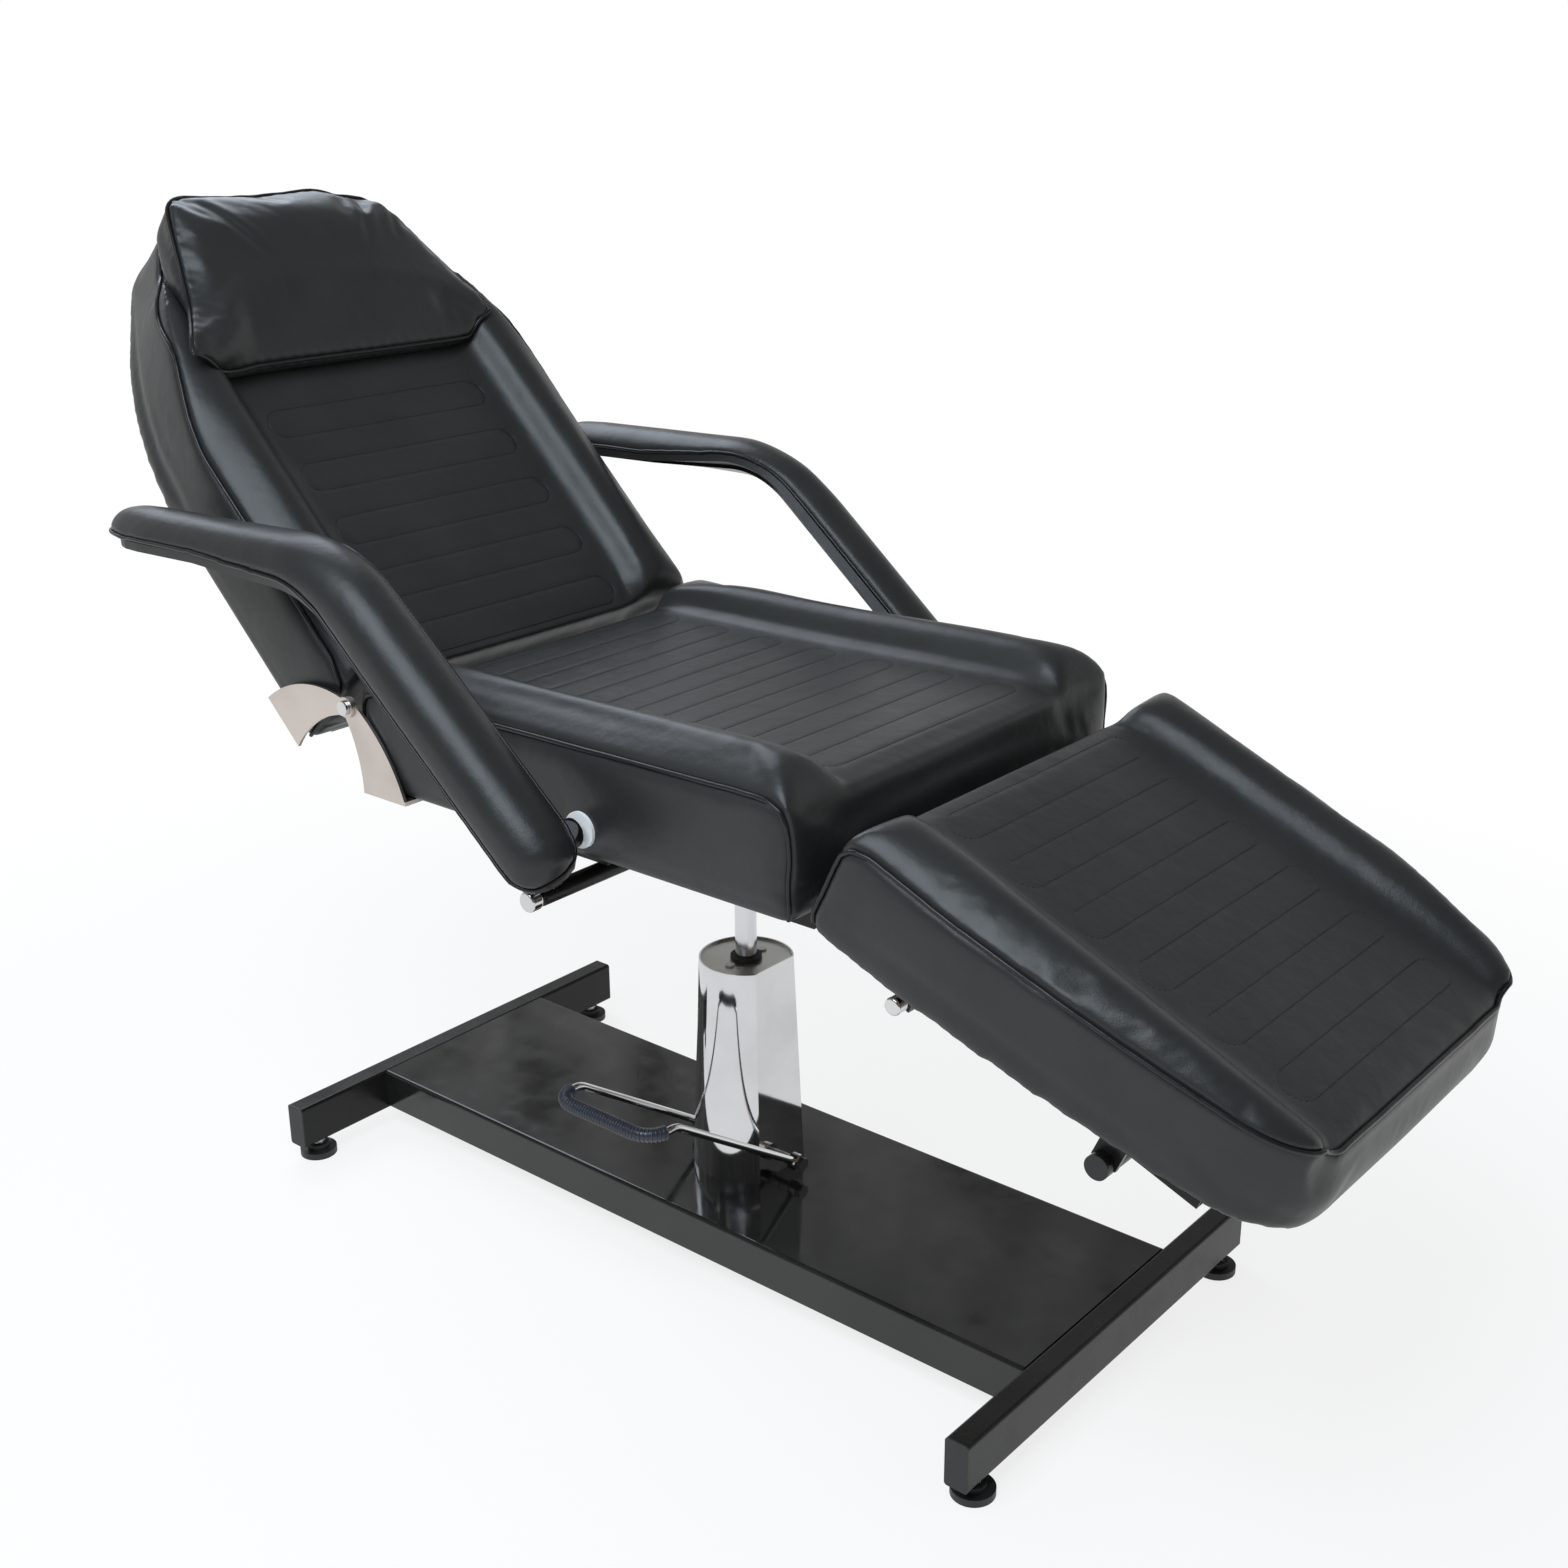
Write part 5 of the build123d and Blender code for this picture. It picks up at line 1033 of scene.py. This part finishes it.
@dataclass
class PillowCover(PaddedPiece):
    """The head pillow's cover, which hangs over the top of the backrest.

    What has grown is said along, across and out. The far side is +Y, the near one -Y.
    """

    top_along: tuple = (0.560, 0.690)
    top_out: tuple = (0.105, 0.150)
    top_grown: tuple = (0.012, -0.010, 0.011)
    far_along: tuple = (0.600, 0.712)
    far_across: tuple = (0.060, 0.165)
    far_grown: tuple = (-0.020, -0.006, 0.0)
    corner_along: tuple = (0.480, 0.560)
    corner_across: tuple = (0.150, 0.250)
    near_corner: tuple = (-0.015, -0.024, 0.017)
    far_corner: tuple = (0.004, -0.006, 0.004)

    def shaped(self, local: np.ndarray) -> np.ndarray:
        """Fills the top of the pillow and flares its lower corners."""
        made = np.array(local, float)
        along, across, out = made.T.copy()
        top = ease(along, *self.top_along)
        high = top * ease(out, *self.top_out)
        far = ease(across, *self.far_across) * ease(along, *self.far_along)
        corner = ease(np.abs(across), *self.corner_across) * (1 - ease(along, *self.corner_along))
        made += np.stack([high, top, high], axis=1) * self.top_grown
        made += far[:, None] * self.far_grown
        grown = np.where(across[:, None] < 0, self.near_corner, self.far_corner)
        return made + corner[:, None] * grown


@dataclass
class ArmPadCover(PaddedPiece):
    """An armrest pad, fullest on its sloping part."""

    arm: Optional["Armrest"] = None
    slope_from: float = 0.33
    slope_to: float = 0.20
    nose_length: float = 0.085

    def shaped(self, local: np.ndarray) -> np.ndarray:
        """Raises the dome over the sloping part."""
        made = np.array(local, float)
        arm = self.arm
        pivot = arm.pivot_x + SHIFT
        low = ease(made[:, 0], pivot - self.slope_from, pivot - self.slope_to)[:, None]
        tip = arm.station(arm.reach, 0.0, 0.0)[0]
        nose = 1 - ease(made[:, 0], tip, tip + self.nose_length)
        wide = arm.across_direction() * low + np.array((0.0, arm.sign, 0.0)) * (1 - low)
        across = ((made - arm.middle_line(made)) * wide).sum(axis=1)
        share = np.clip(across / arm.half, -1, 1) * (1 - nose)
        made += wide * (arm.extra_width * share)[:, None]
        made += arm.dome_direction() * arm.extra_dome * low * arm.height_share(made)[:, None]
        made[:, 0] -= arm.nose * nose
        return made


@dataclass
class Seat:
    """The seat cushion with its side welts, which go down at both ends in a rounded step."""

    rear: float = -0.335
    front: float = 0.341
    half: float = 0.3085
    side: float = 0.126
    ends: tuple = ((0.0, 0.0), (0.0, 0.66), (0.006, 0.80), (0.016, 0.92), (0.034, 0.985), (0.052, 1.0))

    def welt(self, y: float) -> np.ndarray:
        """The welt along one side."""
        path = [(self.front - dx, y, self.side * share) for dx, share in self.ends]
        path += [(self.rear + dx, y, self.side * share) for dx, share in reversed(self.ends[2:])]
        return np.array(path + [(self.rear, y, 0.0)])

    def pieces(self) -> list:
        """The seat's padded pieces."""
        return [
            SeatCover(
                "seat_cover", "seat_cushion", "seat", Finish.SEAT_VINYL, SEAT_PLANE, loops=SEAT_LOOPS,
                welts=[self.welt(-self.half), self.welt(self.half)], seam_depth=0.0006,
            )
        ]


@dataclass
class Backrest:
    """The backrest cushion and the head pillow."""

    half: float = 0.3085
    length: float = 0.770
    thickness: float = 0.122
    crest: float = 0.149
    bolster_in: float = 0.028
    bolster_reach: float = 0.022
    rim_drop: float = 0.004
    pillow_start: float = 0.462
    pillow_end: float = 0.712

    def rim(self, y: float) -> float:
        """Height of the cushion's rim where its outline has come in to y."""
        inward = max(self.half - abs(y), 0.0)
        bolster = math.exp(-(((inward - self.bolster_in) / self.bolster_reach) ** 2))
        return self.thickness + (self.crest - self.thickness) * bolster - self.rim_drop

    def outline(self) -> list:
        """Half the plan outline, from the lower corner to the middle of the top."""
        half, end = self.half, self.length
        neck = (0.620, 0.71 * half)
        top = (0.700, 0.56 * half)
        points = [(0.045, half), (0.350, half)]
        points += arc_points((0.350, half), (0.490, 0.905 * half), neck, 14)[1:]
        points += [neck]
        points += arc_points(top, (end - 0.019, 0.36 * half), (end, 0.0), 14)
        return points + [(end, 0.0)]

    def back_welt(self) -> np.ndarray:
        """Welt round the cushion, from one lower corner over the top to the other."""
        near = [(s, y, self.rim(y)) for s, y in self.outline()]
        foot = [(0.0, self.half, 0.004), (0.0, self.half, 0.085), (0.012, self.half, 0.112)]
        one = foot + near
        other = [(s, -y, v) for s, y, v in reversed(one[:-1])]
        return np.array(one + other)

    def pillow_welt(self) -> np.ndarray:
        """Welt round the face panel of the pillow, closed at its lower edge."""
        low, high = 0.128, 0.158
        side = arc_points((self.pillow_start, 0.262), (0.570, 0.222), (self.pillow_end, 0.160), 16)
        side = [point for point in side if point[0] < self.pillow_end - 0.045]
        corner = [(0.690, 0.158), (0.704, 0.140), (0.712, 0.112)]
        edge = [(s, y, min(low + (s - self.pillow_start) * 1.2, high)) for s, y in side]
        edge += [(s, y, high) for s, y in corner]
        other = [(s, -y, v) for s, y, v in reversed(edge)]
        return np.array(edge + other + [edge[0]])

    def pieces(self) -> list:
        """The backrest's padded pieces."""
        return [
            PaddedPiece(
                "back_cover", "back_cushion", "backrest", Finish.BACK_VINYL, BACK_PLANE,
                loops=BACK_LOOPS, welts=[self.back_welt()],
            ),
            PillowCover(
                "pillow_cover", "head_pillow", "backrest", Finish.VINYL, BACK_PLANE, voxel=0.005,
                cap=0.0085, field_cap=0.0085, held_below=0.014, fill=0.7,
                welts=[self.pillow_welt()], rounds=4, pucker=0.0003, creases=(
                    Crease((0.690, 0.120), (0.590, 0.075), 0.0012, 0.006),
                    Crease((0.670, 0.160), (0.600, 0.135), 0.0010, 0.006),
                    Crease((0.705, -0.140), (0.590, -0.085), 0.0020, 0.006),
                    Crease((0.470, 0.235), (0.530, 0.130), 0.0014, 0.007),
                    Crease((0.470, -0.245), (0.540, -0.150), 0.0014, 0.007),
                ),
            ),
        ]


@dataclass
class Legrest:
    """The legrest cushion with one welt round its sides and foot."""

    start: float = 0.058
    end: float = 0.600
    half: float = 0.311
    middle: tuple = (0.330, 0.296)
    foot_half: float = 0.253
    corner: float = 0.088
    corner_y: float = 0.1807
    turn_from: float = 0.176
    crest: float = 0.022
    roll: float = 0.030
    depth: float = 0.115

    def side(self) -> np.ndarray:
        """The curved side of the plan outline, from the knee to the corner's start."""
        points = arc_points((self.start, self.half), self.middle, (self.end, self.foot_half), 24)
        keep = self.end - self.corner + self.corner * math.sin(self.turn_from)
        return np.array([point for point in points if point[0] < keep - 0.004])

    def inside(self, local: np.ndarray) -> np.ndarray:
        """How far local points lie inside the side and the foot corner."""
        side = self.side()
        deep = np.interp(local[:, 0], side[:, 0], side[:, 1]) - np.abs(local[:, 1])
        du = local[:, 0] - (self.end - self.corner)
        dy = np.abs(local[:, 1]) - self.corner_y
        cornered = (du > 0) & (dy > 0)
        return np.where(cornered, self.corner - np.hypot(du, dy), deep)

    def welt(self) -> np.ndarray:
        """Welt up one side, round the foot and down the other."""
        bends = 10
        half = self.half - 0.003
        one = [(self.start, half, -self.depth), (self.start, half, -0.040)]
        one += [(self.start + 0.004, half, -0.022), (self.start + 0.016, half, -0.008)]
        one += [(self.start + 0.036, half, -0.001)]
        one += [(s, min(y, half), 0.0) for s, y in self.side() if s > self.start + 0.05]
        for i in range(bends + 1):
            turn = self.turn_from + (math.pi / 2 - self.turn_from) * i / bends
            s = self.end - self.corner + self.corner * math.sin(turn)
            one.append((s, self.corner_y + self.corner * math.cos(turn), 0.0))
        other = [(s, -y, v) for s, y, v in reversed(one)]
        return np.array(one + other)

    def pieces(self) -> list:
        """The legrest's padded pieces."""
        return [
            LegCover(
                "leg_cover", "leg_cushion", "legrest", Finish.LEG_VINYL, LEG_PLANE, held_below=0.022,
                loops=LEG_LOOPS, welts=[self.welt()], seam_depth=0.0004, outline=self,
            )
        ]


@dataclass
class Armrest:
    """One bent armrest: its pad, and the welts along both edges of it."""

    name: str
    sign: int
    pivot_x: float = 0.045
    pivot_z: float = 0.645
    centre: float = 0.381
    leg_deg: float = 40.0
    top_deg: float = -1.5
    corner: float = 0.405
    radius: float = 0.150
    reach: float = 0.780
    end_reach: float = 0.046
    tilt_deg: tuple = (33.0, 4.0)
    fade: float = 0.150
    half: float = 0.041
    tip_half: float = 0.011
    tip: float = 0.062
    dome: float = 0.034
    extra_dome: float = 0.011
    extra_width: float = 0.0045
    nose: float = 0.026

    def station(self, along: float, across: float, up: float) -> tuple:
        """Row-frame point on the arm's section at a place along it."""
        leg, top = math.radians(self.leg_deg), math.radians(self.top_deg)
        first = self.corner - self.radius * math.tan((leg - top) / 2)
        bend = self.radius * (leg - top)
        slope = leg - min(max(along - first, 0.0), bend) / self.radius
        run = min(along, first)
        rest = max(along - first - bend, 0.0)
        round_x = self.radius * (math.sin(leg) - math.sin(slope))
        round_z = self.radius * (math.cos(slope) - math.cos(leg))
        x = self.pivot_x - run * math.cos(leg) - round_x - rest * math.cos(top)
        z = self.pivot_z + run * math.sin(leg) + round_z + rest * math.sin(top)
        share = min(max((along - first) / (bend + self.fade), 0.0), 1.0)
        tilt = math.radians(self.tilt_deg[0] + (self.tilt_deg[1] - self.tilt_deg[0]) * share)
        lift = Vector((math.sin(slope), 0, math.cos(slope)))
        out = Vector((0, 1, 0))
        point = Vector((x, self.centre, z))
        point += (out * math.cos(tilt) - lift * math.sin(tilt)) * across
        point += (lift * math.cos(tilt) + out * math.sin(tilt)) * up
        return (point.x + SHIFT, point.y * self.sign, point.z)

    def width(self, along: float) -> float:
        """Half width of the pad at a place along it."""
        low = (along + self.end_reach) / self.end_reach
        high = (self.reach - along) / self.tip
        reach = 1 - min(max(min(low, high), 0.0), 1.0)
        return self.tip_half + (self.half - self.tip_half) * math.sqrt(max(1 - reach ** 2.4, 0.0))

    def edge(self) -> np.ndarray:
        """Closed path round the pad's lower edge."""
        tip = self.reach - self.tip
        places = np.concatenate([
            np.linspace(-self.end_reach, 0.0, 9), np.linspace(0.02, tip, 34),
            np.linspace(tip, self.reach, 8)[1:],
        ])
        lift = 0.001
        one = [self.station(a, self.width(a), lift) for a in places]
        two = [self.station(a, -self.width(a), lift) for a in reversed(places)]
        return np.array(one + two + [one[0]])

    def pieces(self) -> list:
        """The armrest's padded pieces."""
        flat = CushionPlane((0.0, 0.0, 0.0), (1.0, 0.0, 0.0), (0.0, 0.0, 1.0))
        return [
            ArmPadCover(
                f"{self.name}_pad_cover", f"{self.name}_pad", self.name, Finish.VINYL, flat,
                voxel=0.003, cap=0.003, field_cap=0.003, held_below=0.0, welts=[self.edge()],
                welt_radius=0.0022, rounds=3, arm=self,
            )
        ]

    def _turned(self, across: float, up: float) -> np.ndarray:
        """Direction on the sloping part, from shares across and out of the strip below the pad."""
        slope, tilt = math.radians(self.leg_deg), math.radians(self.tilt_deg[0])
        high = up * math.cos(tilt) - across * math.sin(tilt)
        out = across * math.cos(tilt) + up * math.sin(tilt)
        return np.array((math.sin(slope) * high, self.sign * out, math.cos(slope) * high))

    def dome_direction(self) -> np.ndarray:
        """Direction out of the pad on the sloping part."""
        return self._turned(0.0, 1.0)

    def across_direction(self) -> np.ndarray:
        """Direction across the pad on the sloping part, away from the seat."""
        return self._turned(1.0, 0.0)

    def middle_line(self, points: np.ndarray) -> np.ndarray:
        """The place on the arm's middle line beside each point."""
        places = np.linspace(-self.end_reach, self.reach, 60)
        line = np.array([self.station(along, 0.0, 0.0) for along in places])
        apart = np.linalg.norm(points[:, None, [0, 2]] - line[None, :, [0, 2]], axis=2)
        return line[apart.argmin(axis=1)]

    def height_share(self, points: np.ndarray) -> np.ndarray:
        """0 at the pad's underside and 1 at the dome's top, on the sloping part."""
        base = np.array((self.pivot_x + SHIFT, self.sign * self.centre, self.pivot_z))
        return np.clip((points - base) @ self.dome_direction() / self.dome, 0, 1)


@dataclass
class Pedal:
    """The foot pedal's ribbed sleeve."""

    pump_x: float = 0.012
    shaft_z: float = 0.104
    arm_half: float = 0.080
    angle_deg: float = 34.0
    length: float = 0.318
    drop: float = 0.028
    knee_share: float = 0.84
    corner: float = 0.030
    grip_start_share: float = 0.9
    sleeve: float = 0.0078
    rib: float = 0.0012
    rib_pitch: float = 0.0042

    def spot(self, x: float, along: float, drop: float) -> Vector:
        """Row-frame point of the bent rod."""
        turn = math.radians(self.angle_deg)
        height = self.shaft_z + along * math.sin(turn) - drop
        return Vector((self.pump_x + x + SHIFT, -along * math.cos(turn), height))

    def grip_path(self) -> np.ndarray:
        """Centre line of the sleeve, round both bends."""
        knee = self.knee_share * self.length
        ends = ((knee, 0.0), (self.length, self.drop))
        corners = [self.spot(-self.arm_half, *end) for end in ends]
        corners += [self.spot(self.arm_half, *end) for end in reversed(ends)]
        keep = -self.grip_start_share * self.length * math.cos(math.radians(self.angle_deg))
        points = [corners[0]]
        for before, here, after in zip(corners[:-2], corners[1:-1], corners[2:]):
            back, ahead = (before - here).normalized(), (after - here).normalized()
            half = back.angle(ahead) / 2
            cut = self.corner / math.tan(half)
            centre = here + (back + ahead).normalized() * (self.corner / math.sin(half))
            first, last = here + back * cut - centre, here + ahead * cut - centre
            points += [centre + first.slerp(last, i / 8) * self.corner for i in range(9)]
        points.append(corners[-1])
        path = dense(np.array([tuple(p) for p in points]), 0.002)
        return path[path[:, 1] < keep]

    def build(self, shop: PaintShop) -> None:
        """Replaces the plain sleeve with the ribbed one."""
        made = PathTrim(
            "ribbed_grip", "pedal", PathKind.RIBS, Finish.GRIP, self.sleeve, self.rib_pitch, self.rib,
            [self.grip_path()],
        ).build(shop)
        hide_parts("pedal_grip")


class Upholstery:
    """Every padded piece, filled in one simulation."""

    def __init__(self) -> None:
        """Lists the pieces in building order."""
        parts = [Seat(), Backrest(), Legrest(), Armrest("left_arm", 1), Armrest("right_arm", -1)]
        self.padded = [piece for part in parts for piece in part.pieces()]

    def build(self, shop: PaintShop) -> None:
        """Lays out, fills and dresses every piece."""
        for piece in self.padded:
            piece.lay_out()
        self._simulate()
        for piece in self.padded:
            piece.settle()
            piece.finish_cover(shop)

    def _simulate(self) -> None:
        """Steps the cloth of all the large pieces together."""
        for piece in self.padded:
            if not piece.name.endswith("_pad_cover"):
                piece.fill_with_pressure()
        scene = bpy.context.scene
        for step in range(1, STEPS + 1):
            scene.frame_set(step)
        LOG.info("filled the cushions in %d steps", step)


@dataclass
class HardParts:
    """The frame, base, pump and fittings, which keep their solids."""

    finishes: dict = field(default_factory=lambda: {
        Finish.STEEL_PAINT: (
            "front_crossbar rear_crossbar swivel_head seat_frame arm_mounts seat_release_guide "
            "leg_hinge_ears back_frame leg_frame leg_knuckles leg_cross_tube leg_tube_brackets "
            "leg_release_guide left_arm_frame right_arm_frame"
        ),
        Finish.DECK_PAINT: "deck_plate",
        Finish.CHROME: (
            "pump_housing pedal_rod pedal_nuts back_pivot_bolts arm_studs seat_release_rod "
            "seat_release_knob leg_release_rod leg_release_knob"
        ),
        Finish.PLATE: "seat_hinge_plates back_hinge_plates",
        Finish.LID: "housing_lid",
        Finish.ROD: "piston_rod",
        Finish.ZINC: (
            "foot_studs foot_nuts flange_bolts lid_screws pedal_shaft head_bolts leg_hinge_pins"
        ),
        Finish.CAP: "crossbar_end_caps foot_pads leg_tube_caps left_arm_board right_arm_board",
        Finish.WASHER: "arm_washers",
        Finish.RUBBER: "rod_seal",
        Finish.GRIP: "pedal_grip",
        Finish.IRON: "pump_flange pump_cylinder",
        Finish.BOARD: "seat_board back_board leg_board",
        Finish.VINYL: "seat_cushion back_cushion leg_cushion head_pillow left_arm_pad right_arm_pad",
    })

    def build(self, shop: PaintShop) -> None:
        """Gives every carried-over node its finish."""
        for finish, names in self.finishes.items():
            for name in names.split():
                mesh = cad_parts[name].data
                mesh.materials.clear()
                mesh.materials.append(shop.get(finish))
        LOG.info("%d nodes dressed", sum(len(names.split()) for names in self.finishes.values()))


# Studio

@dataclass(frozen=True)
class PhotoCamera:
    """Camera at the photograph's viewing angle."""

    azimuth: float = 39.928
    elevation: float = 20.072
    roll: float = -0.389
    distance: float = 2.377231
    target: tuple = (0.076189, 0.0, 0.61683)
    lens: float = 1980.019 / 1568 * 36

    def build(self) -> None:
        """Places the camera and makes it the scene's own."""
        a, e, r = (math.radians(v) for v in (self.azimuth, self.elevation, self.roll))
        back = Vector((math.sin(a) * math.cos(e), -math.cos(a) * math.cos(e), math.sin(e)))
        right = Vector((math.cos(a), math.sin(a), 0.0))
        up = back.cross(right)
        side = right * math.cos(r) + up * math.sin(r)
        top = up * math.cos(r) - right * math.sin(r)
        data = bpy.data.cameras.new("photo_camera")
        data.lens, data.sensor_width = self.lens, 36.0
        data.clip_start, data.clip_end = 0.05, 60.0
        made = bpy.data.objects.new("photo_camera", data)
        bpy.context.scene.collection.objects.link(made)
        place = Vector(self.target) + Vector((SHIFT, 0, 0)) + back * self.distance
        turn = Matrix((side, top, back)).transposed().to_4x4()
        made.matrix_world = Matrix.Translation(place) @ turn
        bpy.context.scene.camera = made


@dataclass(frozen=True)
class SoftLight:
    """One large lamp."""

    name: str
    place: tuple
    aim: tuple
    size: float
    watts: float
    colour: tuple

    def build(self) -> None:
        """Places the lamp."""
        data = bpy.data.lights.new(self.name, "AREA")
        data.shape, data.size = "SQUARE", self.size
        data.energy, data.color = self.watts, self.colour
        made = bpy.data.objects.new(self.name, data)
        made.location = self.place
        view = Vector(self.aim) - Vector(self.place)
        made.rotation_euler = view.to_track_quat("-Z", "Y").to_euler()
        bpy.context.scene.collection.objects.link(made)


@dataclass
class Studio:
    """Pale floor, soft light and a white background.

    Each fade is where it starts and ends, and its value there.
    """

    ambient: float = 0.42
    ambient_colour: tuple = (0.93, 0.96, 1.0)
    ceiling_fade: tuple = (0.25, 0.70, 1.0, 0.30)
    room_side: tuple = (0.642, -0.767, 0.0)
    room_fade: tuple = (-0.35, 0.45, 1.0, 0.26)
    streak_scale: tuple = (7.0, 7.0, 0.9)
    streak_fade: tuple = (0.42, 0.56, 0.30, 1.0)
    floor_half: float = 14.0
    floor_colour: tuple = (0.90, 0.90, 0.89)
    floor_fade: tuple = (0.9, 2.2, 0.80, 1.0)
    lamps: tuple = (
        SoftLight("key", (0.34, -2.1, 3.25), (0.0, 0.0, 0.6), 2.2, 100.0, (0.80, 0.90, 1.0)),
        SoftLight("rim", (-2.6, 1.0, 3.0), (0.0, 0.0, 0.7), 2.0, 48.0, (0.80, 0.88, 1.0)),
    )

    def build(self) -> None:
        """Makes the world, the floor and the lamps."""
        self._world()
        self._floor()
        for lamp in self.lamps:
            lamp.build()
        bpy.context.scene.view_settings.view_transform = "Standard"

    def _show(self, desk: NodeDesk, plain: Any, white: Any, share: Any, output: str) -> None:
        """Shows white instead of plain where the camera looks, in a mirror or through glass.

        Args:
            desk: The desk of the tree.
            plain: Shader that lights the chair.
            white: Shader that is seen.
            share: How much of the white is seen.
            output: Type of the tree's output node.
        """
        rays = desk.make("ShaderNodeLightPath").outputs
        seen = rays["Is Camera Ray"]
        for name in ("Is Glossy Ray", "Is Transmission Ray"):
            settings = {"operation": "ADD", "use_clamp": True}
            seen = desk.out("ShaderNodeMath", settings, {0: seen, 1: rays[name]})
        mix = desk.out("ShaderNodeMixShader", None, {0: Signal(desk, seen) * share, 1: plain, 2: white})
        desk.make(output, None, {0: mix})

    def _world(self) -> None:
        """Soft surrounding light with a white backdrop and a darker, streaked room for mirrors."""
        world = bpy.data.worlds.new("studio")
        bpy.context.scene.world = world
        world.use_nodes = True
        desk = NodeDesk(world.node_tree)
        place = desk.make("ShaderNodeTexCoord").outputs["Generated"]
        height = desk.make("ShaderNodeSeparateXYZ", None, {0: place}).outputs["Z"]
        inputs = {0: place, 1: self.room_side}
        side = desk.make("ShaderNodeVectorMath", {"operation": "DOT_PRODUCT"}, inputs).outputs["Value"]
        inputs = {0: place, 1: self.streak_scale}
        flat = desk.out("ShaderNodeVectorMath", {"operation": "MULTIPLY"}, inputs)
        streaks = desk.out("ShaderNodeTexNoise", None, {"Vector": flat})
        level = Signal(desk, desk.make("ShaderNodeLightPath").outputs["Is Camera Ray"])
        mirrored = 1.0
        fades = ((height, self.ceiling_fade), (side, self.room_fade), (streaks, self.streak_fade))
        for value, fade in fades:
            mirrored = Signal(desk, value).rise(*fade, "LINEAR") * mirrored
        light = desk.out("ShaderNodeBackground", None, {0: self.ambient_colour, 1: self.ambient})
        shown = level.at_least(mirrored)
        white = desk.out("ShaderNodeBackground", None, {0: (1.0, 1.0, 1.0), 1: shown})
        self._show(desk, light, white, 1.0, "ShaderNodeOutputWorld")

    def _floor(self) -> None:
        """White floor that keeps the chair's shadow and fades into the backdrop."""
        h = self.floor_half
        mesh = bpy.data.meshes.new("floor")
        mesh.from_pydata([(-h, -h, 0), (h, -h, 0), (h, h, 0), (-h, h, 0)], [], [(0, 1, 2, 3)])
        made = link("floor", mesh)
        paint = Paint("pale_floor")
        length = paint.make("ShaderNodeVectorMath", {"operation": "LENGTH"}, {0: paint.place()})
        share = Signal(paint, length.outputs["Value"]).rise(*self.floor_fade)
        plain = paint.out("ShaderNodeBsdfDiffuse", None, {0: self.floor_colour})
        self._show(paint, plain, paint.out("ShaderNodeEmission"), share, "ShaderNodeOutputMaterial")
        mesh.materials.append(paint.material)


def main() -> None:
    """Builds the chair's classes in order and reports each."""
    logging.basicConfig(level=logging.INFO, format="%(name)s: %(message)s")
    shop = PaintShop()
    PhotoCamera().build()
    Studio().build()
    HardParts().build(shop)
    Upholstery().build(shop)
    Pedal().build(shop)
    LOG.info("sizes written")


if __name__ == "__main__":
    main()
